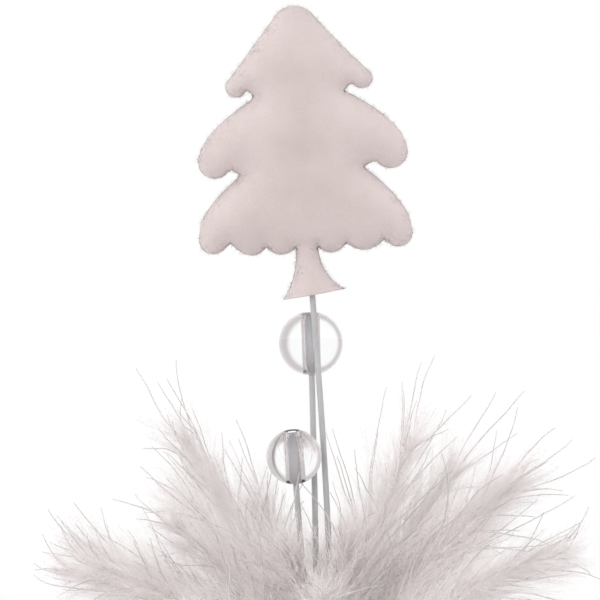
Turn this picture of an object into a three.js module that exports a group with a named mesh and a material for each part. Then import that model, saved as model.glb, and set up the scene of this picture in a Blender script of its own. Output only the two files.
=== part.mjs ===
// A florist's feather pick: a padded plush christmas tree and two clear beads on wires that rise
// out of a ruff of marabou feathers, all bound to one main stem.
// Millimetres, +Z up, origin at the foot of the main stem, front of the tree towards -Y.
import * as THREE from 'three';

// Clearances and overall heights
const CLEARANCE = 0.3;
const MAIN_STEM_LENGTH = 104;
const STEM_RECESS = 1;
const BIND_TOP = MAIN_STEM_LENGTH + STEM_RECESS;
const BIND_DEPTH = 12;

// Wires
const MAIN_STEM_RADIUS = 1.1;
const FOOT_BEVEL = 0.3;
const WIRE_RADIUS = 0.65;
const BUNDLE_RADIUS = MAIN_STEM_RADIUS + CLEARANCE + WIRE_RADIUS;
const WIRE_SIDES = 8;
const STEM_STEPS = 14;

// Each spray: where its wire sits round the main stem, and the bow of the wire above the bind
const TREE_SPRAY = { angle: 355, bow: [3.1, -0.95, 25], end: [-1.85, -3.9, 85.5] };
const TALL_SPRAY = { angle: 115, bow: [-0.9, 2.9, 35], end: [-2.35, 5.35, 80] };
const SHORT_SPRAY = { angle: 235, bow: [-3.4, -3.3, 16], end: [-6.2, -10.3, 55.2] };

// Beads
const TALL_BEAD = { radius: 7, height: 75.5 };
const SHORT_BEAD = { radius: 6, height: 51 };
const BEAD_BORE_RADIUS = 1.5;
const GLUE_GAP = 0.25;
const GLUE_CAP = 1;
const BEAD_SIDES = 24;
const BEAD_RINGS = 12;

// Plush tree
const TREE_HEIGHT = 64;
const TREE_HALF_WIDTH = 24;
const TRUNK_HEIGHT = 11.1;
const COVER_THICKNESS = 0.8;
const SEAM_GAP = 0.3;
const CROWN = 3.7;
const CROWN_REACH = 8;
const FOAM_INSET = 3.6;
const foamFillShare = 0.65;
const foamStepShare = 0.33;
const foamClearShare = 0.94;
const OUTLINE_STEP = 2.1;
const arcStepShare = 0.6;
const COVER_SPACING = 3.5;
const FOAM_SPACING = 5;
const FIELD_STEP = 0.8;
const WIRE_IN_TREE = 40;

// Binding wire and floral tape
const BINDING_RADIUS = 0.35;
const BINDING_PITCH = 1.2;
const BINDING_TURNS = 7;
const BINDING_STEPS = 16;
const BINDING_SIDES = 5;
const TAPE_LENGTH = 30;
const TAPE_THICKNESS = 0.7;
const TAPE_PITCH = 6;
const TAPE_RIDGE = 0.35;
const TAPE_TAPER = 9;
const TAPE_STEPS = 20;
const TAPE_SIDES = 20;

// Marabou feathers
const FEATHER_COUNT = 24;
const QUILL_RING_RADIUS = 3.6;
const QUILL_RADIUS = 0.32;
const QUILL_TIP_RADIUS = 0.16;
const SHAFT_LENGTH = 60;
const BARE_LENGTH = 18;
const BEND_LENGTH = 9;
const SHAFT_STEPS = 40;
const SIDE_BARB_COUNT = 7;
const BARB_LENGTH = 22;
const BARB_HALF_WIDTH = 1.15;
const BARB_HALF_THICKNESS = 0.24;

const HALVINGS = 40;
const rad = THREE.MathUtils.degToRad;

const finishes = {
  plush: new THREE.MeshStandardMaterial({ color: 0xded2d0, roughness: 0.95, metalness: 0 }),
  foam: new THREE.MeshStandardMaterial({ color: 0xf2efe6, roughness: 0.9, metalness: 0 }),
  coatedWire: new THREE.MeshStandardMaterial({ color: 0xc8c8c8, roughness: 0.45, metalness: 0 }),
  bead: new THREE.MeshStandardMaterial({
    color: 0xe4e6ea, roughness: 0.05, metalness: 0, transparent: true, opacity: 0.4,
  }),
  glue: new THREE.MeshStandardMaterial({
    color: 0xf0f0ee, roughness: 0.2, metalness: 0, transparent: true, opacity: 0.5,
  }),
  steelWire: new THREE.MeshStandardMaterial({ color: 0xb4b6b8, roughness: 0.35, metalness: 1 }),
  tape: new THREE.MeshStandardMaterial({ color: 0xe8e6e0, roughness: 0.75, metalness: 0 }),
  feather: new THREE.MeshStandardMaterial({ color: 0xe0d6d6, roughness: 1, metalness: 0 }),
};

// Points and triangles of one closed skin, gathered while a piece is built.
class Skin {
  constructor() {
    this.points = [];
    this.triangles = [];
  }

  point(vector) {
    this.points.push(vector.x, vector.y, vector.z);
    return this.points.length / 3 - 1;
  }

  triangle(a, b, c) {
    this.triangles.push(a, b, c);
  }

  quad(a, b, c, d) {
    this.triangle(a, b, c);
    this.triangle(a, c, d);
  }

  // The band between two loops that run anticlockwise about the direction of travel.
  band(from, to) {
    from.forEach((corner, i) => {
      const next = (i + 1) % from.length;
      this.quad(corner, from[next], to[next], to[i]);
    });
  }

  fan(loop, apex) {
    loop.forEach((corner, i) => this.triangle(corner, loop[(i + 1) % loop.length], apex));
  }

  geometry() {
    const geometry = new THREE.BufferGeometry();
    geometry.setAttribute('position', new THREE.Float32BufferAttribute(this.points, 3));
    geometry.setIndex(this.triangles);
    geometry.computeVertexNormals();
    return geometry;
  }
}

function piece(name, geometry, finish) {
  const mesh = new THREE.Mesh(geometry, finish);
  mesh.name = name;
  return mesh;
}

// A turned shape from a profile of [radius, height] pairs, its axis along +Z.
function turned(profile, sides) {
  const points = profile.map(([radius, height]) => new THREE.Vector2(radius, height));
  return new THREE.LatheGeometry(points, sides).rotateX(Math.PI / 2);
}

// A round wire along a curve, closed by flat ends.
function wireAlong(curve, steps = STEM_STEPS) {
  const section = new THREE.Shape();
  for (let i = 0; i < WIRE_SIDES; i += 1) {
    const turn = (i / WIRE_SIDES) * 2 * Math.PI;
    const x = WIRE_RADIUS * Math.cos(turn);
    const y = WIRE_RADIUS * Math.sin(turn);
    if (i === 0) section.moveTo(x, y);
    else section.lineTo(x, y);
  }
  section.closePath();
  return new THREE.ExtrudeGeometry(section, { steps, extrudePath: curve, bevelEnabled: false });
}

// Where a spray's wire leaves the bind
function sprayFoot(spray) {
  const turn = rad(spray.angle);
  return new THREE.Vector3(BUNDLE_RADIUS * Math.cos(turn), BUNDLE_RADIUS * Math.sin(turn), 0);
}

function sprayCurve(spray) {
  return new THREE.QuadraticBezierCurve3(
    sprayFoot(spray),
    new THREE.Vector3(...spray.bow),
    new THREE.Vector3(...spray.end),
  );
}

// The share of a spray's curve at which it reaches a height above the bind
function shareAtHeight(curve, height) {
  let low = 0;
  let high = 1;
  for (let i = 0; i < HALVINGS; i += 1) {
    const middle = (low + high) / 2;
    if (curve.getPoint(middle).z < height) low = middle;
    else high = middle;
  }
  return low;
}

// A group that stands on a curve at a share of it, with its own +Z along the curve
function groupOnCurve(curve, share) {
  const group = new THREE.Group();
  const up = new THREE.Vector3(0, 0, 1);
  group.position.copy(curve.getPoint(share));
  group.quaternion.setFromUnitVectors(up, curve.getTangent(share));
  return group;
}

// The part of a spray's wire that is held in the bind
function wireTail(name, spray) {
  const foot = sprayFoot(spray);
  const curve = new THREE.LineCurve3(
    new THREE.Vector3(foot.x, foot.y, BIND_TOP - BIND_DEPTH),
    new THREE.Vector3(foot.x, foot.y, BIND_TOP - CLEARANCE),
  );
  return piece(name, wireAlong(curve, 1), finishes.coatedWire);
}

function mainStem() {
  const profile = [
    [0, 0],
    [MAIN_STEM_RADIUS - FOOT_BEVEL, 0],
    [MAIN_STEM_RADIUS, FOOT_BEVEL],
    [MAIN_STEM_RADIUS, MAIN_STEM_LENGTH],
    [0, MAIN_STEM_LENGTH],
  ];
  return piece('main_stem', turned(profile, WIRE_SIDES * 2), finishes.coatedWire);
}

// Bead on its wire
function beadGeometry(radius) {
  const opening = Math.asin(BEAD_BORE_RADIUS / radius);
  const profile = [];
  for (let i = 0; i <= BEAD_RINGS; i += 1) {
    const angle = opening + (i / BEAD_RINGS) * (Math.PI - 2 * opening);
    profile.push([radius * Math.sin(angle), -radius * Math.cos(angle)]);
  }
  profile.push(profile[0]);
  return turned(profile, BEAD_SIDES);
}

// Clear glue: a thimble in the bore, over the end of the wire
function glueGeometry(radius) {
  const outer = BEAD_BORE_RADIUS - GLUE_GAP;
  const inner = WIRE_RADIUS + GLUE_GAP;
  const bottom = -radius + CLEARANCE;
  const top = radius - CLEARANCE;
  const ceiling = top - GLUE_CAP;
  const profile = [
    [0, ceiling],
    [inner, ceiling],
    [inner, bottom],
    [outer, bottom],
    [outer, top],
    [0, top],
  ];
  return turned(profile, WIRE_SIDES * 2);
}

// Where the route of a spray's wire has its points: on its bow, and past the bow's end
const beadRouteShares = [0, 0.25, 0.5, 0.75];
const treeRouteShares = [0, 0.2, 0.4, 0.6, 0.8];
const wireInTreeShares = [0.25, 0.5, 0.75, 1];

function beadSpray(name, spray, bead) {
  const group = new THREE.Group();
  const curve = sprayCurve(spray);
  const share = shareAtHeight(curve, bead.height);
  const seat = groupOnCurve(curve, share);
  seat.add(piece(name, beadGeometry(bead.radius), finishes.bead));
  seat.add(piece(`${name}_glue`, glueGeometry(bead.radius), finishes.glue));
  group.add(seat);

  // The wire bends up to the bead's mouth, then runs straight through most of the bore
  const mouth = curve.getPoint(share).addScaledVector(curve.getTangent(share), -bead.radius);
  const mouthShare = shareAtHeight(curve, mouth.z);
  const tip = curve.getPoint(share).addScaledVector(
    curve.getTangent(share),
    bead.radius - GLUE_CAP - CLEARANCE * 2,
  );
  const route = new THREE.CatmullRomCurve3([
    ...beadRouteShares.map((part) => curve.getPoint(part * mouthShare)),
    mouth,
    mouth.clone().lerp(tip, 0.5),
    tip,
  ]);
  group.add(piece(`${name}_stem`, wireAlong(route), finishes.coatedWire));
  return group;
}

// Outline of the tree, from the foot of the trunk up the right side and down the left.
// Points are shares of TREE_HALF_WIDTH across and TREE_HEIGHT up.
// A bough has the notch above it, the pull of its upper edge, its round tip and its under edge.
const capShares = { shoulder: [0.138, 0.977], crest: [0, 1.012] };
const rightBoughShares = [
  {
    notch: [0.548, 0.43], pull: [0.93, 0.3], tip: [0.808, 0.203], tipRadius: 0.133,
    under: [0.68, 0.19], hem: [0.673, 0.181],
  },
  {
    notch: [0.43, 0.692], pull: [0.896, 0.586], tip: [0.788, 0.48], tipRadius: 0.158,
    under: [0.66, 0.462], hem: [0.542, 0.433],
  },
  {
    notch: [0.138, 0.977], pull: [0.44, 0.836], tip: [0.579, 0.734], tipRadius: 0.096,
    under: [0.48, 0.73], hem: [0.413, 0.695],
  },
];
const leftBoughShares = [
  {
    notch: [0.62, 0.42], pull: [0.985, 0.322], tip: [0.871, 0.219], tipRadius: 0.129,
    under: [0.74, 0.215], hem: [0.717, 0.203],
  },
  {
    notch: [0.44, 0.685], pull: [0.9, 0.586], tip: [0.804, 0.484], tipRadius: 0.152,
    under: [0.67, 0.466], hem: [0.6, 0.435],
  },
  {
    notch: [0.138, 0.977], pull: [0.46, 0.834], tip: [0.567, 0.733], tipRadius: 0.096,
    under: [0.47, 0.73], hem: [0.421, 0.7],
  },
];
const rightScallopShares = [
  { from: [0.071, 0.172], dip: [0.205, 0.149] },
  { from: [0.333, 0.178], dip: [0.505, 0.15] },
];
const leftScallopShares = [
  { from: [0.129, 0.175], dip: [0.26, 0.153] },
  { from: [0.396, 0.181], dip: [0.545, 0.158] },
];
const trunkShares = {
  leftFoot: [-0.275, 0],
  rightFoot: [0.3, 0.023],
  waistLeft: [-0.125, 0.078],
  waistRight: [0.09, 0.06],
};
const stemEntryShare = -0.01;
const treeTurnDegrees = 0.6;
const tipArcDegrees = { from: 230, to: 20 };

function outlinePoint([across, up], side = 1) {
  return new THREE.Vector2(side * across * TREE_HALF_WIDTH, up * TREE_HEIGHT);
}

function curveTo(path, pull, end) {
  path.quadraticCurveTo(pull.x, pull.y, end.x, end.y);
}

// The points of one side, from the neck of the trunk up to the shoulder of the crest
function sidePath(side, boughShares, scallopShares) {
  const path = new THREE.Path();
  const neck = outlinePoint(scallopShares[0].from, side);
  path.moveTo(neck.x, neck.y);
  scallopShares.forEach((scallop, i) => {
    const next = scallopShares[i + 1] ? scallopShares[i + 1].from : boughShares[0].hem;
    const from = outlinePoint(scallop.from, side);
    const dip = outlinePoint(scallop.dip, side);
    const end = outlinePoint(next, side);
    const pull = dip.multiplyScalar(2).sub(from.add(end).multiplyScalar(0.5));
    curveTo(path, pull, end);
  });
  const turn = (degrees) => rad(side > 0 ? degrees : 180 - degrees);
  const low = turn(tipArcDegrees.from);
  const high = turn(tipArcDegrees.to);
  boughShares.forEach((bough, i) => {
    const centre = outlinePoint(bough.tip, side);
    const radius = bough.tipRadius * TREE_HALF_WIDTH;
    if (i > 0) {
      const start = new THREE.Vector2(Math.cos(low), Math.sin(low)).multiplyScalar(radius).add(centre);
      curveTo(path, outlinePoint(bough.under, side), start);
    }
    path.absarc(centre.x, centre.y, radius, low, high, side < 0);
    curveTo(path, outlinePoint(bough.pull, side), outlinePoint(bough.notch, side));
    if (i < boughShares.length - 1) {
      const hem = outlinePoint(boughShares[i + 1].hem, side);
      path.lineTo(hem.x, hem.y);
    }
  });
  return path;
}

// Points along a path, close to a step apart and closer on arcs, with every corner kept
function pathPoints(path, step) {
  const points = [];
  path.curves.forEach((curve) => {
    const reach = curve.isEllipseCurve ? step * arcStepShare : step;
    const count = Math.max(1, Math.round(curve.getLength() / reach));
    for (let i = 0; i < count; i += 1) points.push(curve.getPoint(i / count));
  });
  const last = path.curves[path.curves.length - 1];
  points.push(last.getPoint(1));
  return points;
}

// Both sides of the tree as one anticlockwise ring, without the straight cut at the foot
function treeSides(step) {
  const trunkRight = new THREE.Path();
  const rightFoot = outlinePoint(trunkShares.rightFoot);
  const rightNeck = outlinePoint(rightScallopShares[0].from);
  trunkRight.moveTo(rightFoot.x, rightFoot.y);
  curveTo(trunkRight, outlinePoint(trunkShares.waistRight), rightNeck);

  const trunkLeft = new THREE.Path();
  const leftNeck = outlinePoint(leftScallopShares[0].from, -1);
  trunkLeft.moveTo(leftNeck.x, leftNeck.y);
  curveTo(trunkLeft, outlinePoint(trunkShares.waistLeft), outlinePoint(trunkShares.leftFoot));

  const crest = new THREE.Path();
  const shoulder = outlinePoint(capShares.shoulder);
  crest.moveTo(shoulder.x, shoulder.y);
  curveTo(crest, outlinePoint(capShares.crest), outlinePoint(capShares.shoulder, -1));

  const right = pathPoints(sidePath(1, rightBoughShares, rightScallopShares), step);
  const left = pathPoints(sidePath(-1, leftBoughShares, leftScallopShares), step).reverse();
  return [
    ...pathPoints(trunkRight, step).slice(0, -1),
    ...right.slice(0, -1),
    ...pathPoints(crest, step).slice(0, -1),
    ...left.slice(0, -1),
    ...pathPoints(trunkLeft, step),
  ];
}

// The straight cut at the foot of the trunk, left open round the wire
function footPoints() {
  const left = outlinePoint(trunkShares.leftFoot);
  const right = outlinePoint(trunkShares.rightFoot);
  const count = Math.round(left.distanceTo(right) / OUTLINE_STEP);
  return Array.from({ length: count - 1 }, (_, i) => left.clone().lerp(right, (i + 1) / count));
}

// Points up the middle of the trunk, so that its padding stands clear of the wire
function trunkSpine() {
  const count = Math.ceil((TRUNK_HEIGHT + COVER_SPACING) / OUTLINE_STEP);
  return Array.from({ length: count }, (_, i) => new THREE.Vector2(
    stemEntryShare * TREE_HALF_WIDTH,
    (i + 1) * OUTLINE_STEP,
  ));
}

function isInside(point, ring) {
  let inside = false;
  ring.forEach((a, i) => {
    const b = ring[(i + 1) % ring.length];
    if (a.y > point.y !== b.y > point.y) {
      const crossing = a.x + ((point.y - a.y) / (b.y - a.y)) * (b.x - a.x);
      if (point.x < crossing) inside = !inside;
    }
  });
  return inside;
}

function distanceToRing(point, ring) {
  return Math.min(...ring.map((a, i) => {
    const b = ring[(i + 1) % ring.length];
    const edge = b.clone().sub(a);
    const along = THREE.MathUtils.clamp(point.clone().sub(a).dot(edge) / edge.lengthSq(), 0, 1);
    return a.clone().addScaledVector(edge, along).distanceTo(point);
  }));
}

const frameShare = 50;
const roomShare = 0.55;
const nearestShare = 1e-9;

// Delaunay triangles of a set of points, kept where they lie inside the ring
function trianglesInside(points, ring) {
  const reach = frameShare * TREE_HEIGHT;
  const all = [
    ...points,
    new THREE.Vector2(-reach, -reach),
    new THREE.Vector2(reach, -reach),
    new THREE.Vector2(0, reach),
  ];
  const first = points.length;
  let triangles = [circumscribed(all, first, first + 1, first + 2)];
  points.forEach((point, index) => {
    const edges = new Map();
    triangles = triangles.filter((triangle) => {
      if (triangle.centre.distanceToSquared(point) >= triangle.radiusSquared) return true;
      const [a, b, c] = triangle.corners;
      [[a, b], [b, c], [c, a]].forEach(([from, to]) => {
        const twin = `${to},${from}`;
        if (edges.has(twin)) edges.delete(twin);
        else edges.set(`${from},${to}`, [from, to]);
      });
      return false;
    });
    edges.forEach(([from, to]) => triangles.push(circumscribed(all, from, to, index)));
  });
  return triangles
    .map((triangle) => triangle.corners)
    .filter((corners) => corners.every((corner) => corner < first))
    .filter(([a, b, c]) => {
      const middle = all[a].clone().add(all[b]).add(all[c]).divideScalar(3);
      return isInside(middle, ring);
    });
}

function circumscribed(points, a, b, c) {
  const p = points[a];
  const q = points[b].clone().sub(p);
  const r = points[c].clone().sub(p);
  const scale = 2 * (q.x * r.y - q.y * r.x);
  const x = (r.y * q.lengthSq() - q.y * r.lengthSq()) / scale;
  const y = (q.x * r.lengthSq() - r.x * q.lengthSq()) / scale;
  return {
    corners: [a, b, c],
    centre: new THREE.Vector2(p.x + x, p.y + y),
    radiusSquared: x * x + y * y,
  };
}

// A ring filled with triangles over given points and evenly spaced ones
function filledRing(ring, spacing, given) {
  const box = new THREE.Box2().setFromPoints(ring);
  const points = [...ring, ...given];
  const room = spacing * roomShare;
  const isFree = (point) => given.every((other) => other.distanceTo(point) > room);
  const rowHeight = spacing * Math.sqrt(3) / 2;
  const rows = Math.ceil((box.max.y - box.min.y) / rowHeight);
  const columns = Math.ceil((box.max.x - box.min.x) / spacing) + 1;
  for (let row = 0; row < rows; row += 1) {
    for (let column = 0; column < columns; column += 1) {
      const shift = row % 2 ? spacing / 2 : 0;
      const point = new THREE.Vector2(
        box.min.x + column * spacing + shift,
        box.min.y + (row + 0.5) * rowHeight,
      );
      const clear = isInside(point, ring) && distanceToRing(point, ring) > room;
      if (clear && isFree(point)) points.push(point);
    }
  }
  return { points, triangles: trianglesInside(points, ring) };
}

// Rise of the padding over a point: nothing at the sewn edge, the full crown well inside.
// The distance to the edge is a smooth mean over the whole edge, so the padding has no ridges.
// A straight edge at a distance d has a pull of pi / (2 d^3).
function paddingRise(point, edge) {
  const nearest = nearestShare * FIELD_STEP ** 2;
  const pull = edge.reduce((sum, at) => {
    const squared = Math.max(at.distanceToSquared(point), nearest);
    return sum + FIELD_STEP / squared ** 2;
  }, 0);
  const distance = Math.cbrt(Math.PI / (2 * pull));
  const left = 1 - Math.min(distance / CROWN_REACH, 1);
  return CROWN * (1 - left * left);
}

// Height of a filled ring's faceted surface over a point inside it
function heightOver(filled, heights, point) {
  const at = new THREE.Vector3(point.x, point.y, 0);
  const corner = (index) => new THREE.Vector3(filled.points[index].x, filled.points[index].y, 0);
  const weights = new THREE.Vector3();
  const found = filled.triangles.find(([a, b, c]) => {
    THREE.Triangle.getBarycoord(at, corner(a), corner(b), corner(c), weights);
    return Math.min(weights.x, weights.y, weights.z) >= 0;
  });
  const [a, b, c] = found;
  return weights.dot(new THREE.Vector3(heights[a], heights[b], heights[c]));
}

// A padded sheet between two heights over a filled ring; side -1 is the front, +1 the back
function sheetBetween(filled, nearHeight, farHeight, side) {
  const skin = new Skin();
  const near = filled.points.map((p, i) => skin.point(new THREE.Vector3(p.x, side * nearHeight(p, i), p.y)));
  const far = filled.points.map((p, i) => skin.point(new THREE.Vector3(p.x, side * farHeight(p, i), p.y)));
  const rim = new Map();
  filled.triangles.forEach(([a, b, c]) => {
    if (side < 0) {
      skin.triangle(far[a], far[b], far[c]);
      skin.triangle(near[a], near[c], near[b]);
    } else {
      skin.triangle(far[a], far[c], far[b]);
      skin.triangle(near[a], near[b], near[c]);
    }
    [[a, b], [b, c], [c, a]].forEach(([from, to]) => {
      if (rim.has(`${to},${from}`)) rim.delete(`${to},${from}`);
      else rim.set(`${from},${to}`, [from, to]);
    });
  });
  rim.forEach(([from, to]) => {
    if (side < 0) skin.quad(far[from], near[from], near[to], far[to]);
    else skin.quad(far[from], far[to], near[to], near[from]);
  });
  return skin.geometry();
}

// The foam's outline: the tree's, drawn in by the sealed rim, without the trunk
function foamRing(sides) {
  const inset = [];
  sides.forEach((point, i) => {
    const before = sides[Math.max(i - 1, 0)];
    const after = sides[Math.min(i + 1, sides.length - 1)];
    const along = after.clone().sub(before).normalize();
    const moved = new THREE.Vector2(-along.y, along.x).multiplyScalar(FOAM_INSET).add(point);
    const clear = Math.min(...sides.map((other) => other.distanceTo(moved)));
    const onBoughs = moved.y > TRUNK_HEIGHT + FOAM_INSET / 2;
    const previous = inset[inset.length - 1];
    const apart = !previous || previous.distanceTo(moved) > FOAM_SPACING * foamStepShare;
    if (clear > FOAM_INSET * foamClearShare && onBoughs && apart) inset.push(moved);
  });
  return inset;
}

function plushTree() {
  const group = new THREE.Group();
  const sides = treeSides(OUTLINE_STEP);
  const edge = treeSides(FIELD_STEP);
  const cover = filledRing([...sides, ...footPoints()], COVER_SPACING, trunkSpine());
  const rises = cover.points.map((point, i) => (i < sides.length ? 0 : paddingRise(point, edge)));
  const inner = (point, i) => SEAM_GAP / 2 + rises[i];
  const outer = (point, i) => inner(point, i) + COVER_THICKNESS;
  group.add(piece('tree_front_cover', sheetBetween(cover, inner, outer, -1), finishes.plush));
  group.add(piece('tree_back_cover', sheetBetween(cover, inner, outer, 1), finishes.plush));

  const foam = filledRing(foamRing(sides), FOAM_SPACING, []);
  const middle = () => WIRE_RADIUS + CLEARANCE;
  const crown = (point) => {
    const room = SEAM_GAP / 2 + heightOver(cover, rises, point) - CLEARANCE - middle();
    return middle() + room * foamFillShare;
  };
  group.add(piece('tree_front_foam', sheetBetween(foam, middle, crown, -1), finishes.foam));
  group.add(piece('tree_back_foam', sheetBetween(foam, middle, crown, 1), finishes.foam));
  return group;
}

function treeSpray() {
  const group = new THREE.Group();
  const curve = sprayCurve(TREE_SPRAY);
  const seat = groupOnCurve(curve, 1);
  const tree = plushTree();
  tree.position.x = -stemEntryShare * TREE_HALF_WIDTH;
  tree.rotation.y = rad(treeTurnDegrees);
  seat.add(tree);
  group.add(seat);

  const end = curve.getPoint(1);
  const direction = curve.getTangent(1);
  const route = new THREE.CatmullRomCurve3([
    ...treeRouteShares.map((share) => curve.getPoint(share)),
    end,
    ...wireInTreeShares.map((share) => end.clone().addScaledVector(direction, share * WIRE_IN_TREE)),
  ]);
  group.add(piece('tree_stem', wireAlong(route), finishes.coatedWire));
  return group;
}

// Binding wire: one winding round the quills
function bindingLoops() {
  const loops = [];
  const radius = QUILL_RING_RADIUS + QUILL_RADIUS + CLEARANCE + BINDING_RADIUS;
  const steps = BINDING_TURNS * BINDING_STEPS;
  const top = BIND_TOP - CLEARANCE - BINDING_RADIUS;
  for (let i = 0; i <= steps; i += 1) {
    const turn = (i / BINDING_STEPS) * 2 * Math.PI;
    const outward = new THREE.Vector3(Math.cos(turn), Math.sin(turn), 0);
    const centre = outward.clone().multiplyScalar(radius);
    centre.z = top - (BINDING_TURNS - i / BINDING_STEPS) * BINDING_PITCH;
    loops.push({ outward, centre });
  }
  return loops;
}

function bindingWire() {
  const skin = new Skin();
  const up = new THREE.Vector3(0, 0, 1);
  const rings = bindingLoops().map(({ outward, centre }) => {
    const ring = [];
    for (let side = 0; side < BINDING_SIDES; side += 1) {
      const angle = (side / BINDING_SIDES) * 2 * Math.PI;
      const point = centre.clone()
        .addScaledVector(up, BINDING_RADIUS * Math.cos(angle))
        .addScaledVector(outward, BINDING_RADIUS * Math.sin(angle));
      ring.push(skin.point(point));
    }
    return ring;
  });
  rings.slice(1).forEach((ring, i) => skin.band(rings[i], ring));
  const loops = bindingLoops();
  skin.fan([...rings[0]].reverse(), skin.point(loops[0].centre));
  skin.fan(rings[rings.length - 1], skin.point(loops[loops.length - 1].centre));
  return piece('binding_wire', skin.geometry(), finishes.steelWire);
}

function reportBindingGap() {
  const centres = bindingLoops().map((loop) => loop.centre);
  let least = Infinity;
  centres.forEach((a, i) => {
    centres.slice(i + BINDING_STEPS / 2).forEach((b) => {
      least = Math.min(least, a.distanceTo(b) - 2 * BINDING_RADIUS);
    });
  });
  console.log(`binding wire: least gap to itself ${least.toFixed(2)} mm`);
}

// Floral tape: a sleeve whose overlaps climb round it, wide over the quills and close on the stem
function floralTape() {
  const skin = new Skin();
  const top = BIND_TOP - 2 * CLEARANCE - 2 * BINDING_RADIUS - BINDING_TURNS * BINDING_PITCH;
  const ledge = BIND_TOP - BIND_DEPTH - CLEARANCE;
  const wide = QUILL_RING_RADIUS + QUILL_RADIUS + CLEARANCE;
  const close = MAIN_STEM_RADIUS + CLEARANCE;
  const bottom = top - TAPE_LENGTH;
  const columns = [];
  for (let side = 0; side < TAPE_SIDES; side += 1) {
    const turn = (side / TAPE_SIDES) * 2 * Math.PI;
    const outward = new THREE.Vector3(Math.cos(turn), Math.sin(turn), 0);
    const at = (radius, z) => skin.point(outward.clone().multiplyScalar(radius).setZ(z));
    const column = [at(close, bottom), at(close, ledge), at(wide, ledge), at(wide, top)];
    for (let step = 0; step <= TAPE_STEPS; step += 1) {
      const z = top - (step / TAPE_STEPS) * TAPE_LENGTH;
      const narrowing = THREE.MathUtils.smoothstep(ledge - z, 0, TAPE_TAPER);
      const phase = (z / TAPE_PITCH + side / TAPE_SIDES) % 1;
      const radius = THREE.MathUtils.lerp(wide, close, narrowing) + TAPE_THICKNESS + TAPE_RIDGE * phase;
      column.push(at(radius, z));
    }
    columns.push(column);
  }
  columns.forEach((column, i) => skin.band(column, columns[(i + 1) % columns.length]));
  return piece('floral_tape', skin.geometry(), finishes.tape);
}

// Feathers stand round the bind, one to each sector, listed from +X anticlockwise seen from above.
// At the front and back they lie lower and shorter, which leaves the sprays in view.
const ruffTiltDegrees = [
  39, 62, 32, 54, 32, 62, 52, 66, 30, 44, 64, 60,
  24, 64, 62, 48, 70, 38, 66, 32, 70, 22, 60, 41,
];
const ruffLengthShares = [
  0.95, 1, 0.92, 0.95, 0.8, 0.85, 0.72, 0.85, 0.74, 0.93, 1, 1,
  1, 1, 1, 0.92, 0.9, 0.66, 0.9, 0.66, 0.9, 0.98, 1, 1,
];
const tipDroopDegrees = 10;

// The barbs of a feather are a little longer on one side, by a share of its own from -1 to 1
const swayTurnDegrees = 137.5;
const swayBarbShare = 0.08;

// Barbs: how far they spread from the shaft, curl back to it and lift to either side of the vane,
// their length along the shaft, and their sections as shares of their length, width and thickness
const barbSpreadDegrees = 36;
const barbCurlDegrees = 16;
const barbLiftDegrees = 4.5;
const barbSwellShares = { first: 0.22, last: 0.8 };
const barbSectionShares = [
  { reach: 0.42, width: 1, thickness: 1 },
  { reach: 0.78, width: 0.62, thickness: 0.7 },
];
const barbRootShare = 0.5;
const bendStationShares = [0, 0.4, 0.8];

function featherPlan(index) {
  return {
    azimuth: (index / FEATHER_COUNT) * 360,
    tilt: ruffTiltDegrees[index % ruffTiltDegrees.length],
    length: SHAFT_LENGTH * ruffLengthShares[index % ruffLengthShares.length],
    sway: Math.sin(rad(index * swayTurnDegrees)),
  };
}

// Shaft of a feather: distance out, height and tilt at a length along it
function shaftAt(plan, length) {
  const step = length / SHAFT_STEPS;
  let out = QUILL_RING_RADIUS;
  let up = 0;
  let tilt = 0;
  for (let i = 0; i < SHAFT_STEPS; i += 1) {
    const at = (i + 0.5) * step;
    tilt = plan.tilt * THREE.MathUtils.smoothstep(at, 0, BEND_LENGTH)
      + tipDroopDegrees * (at / plan.length) ** 2;
    out += step * Math.sin(rad(tilt));
    up += step * Math.cos(rad(tilt));
  }
  return { out, up, tilt };
}

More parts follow.
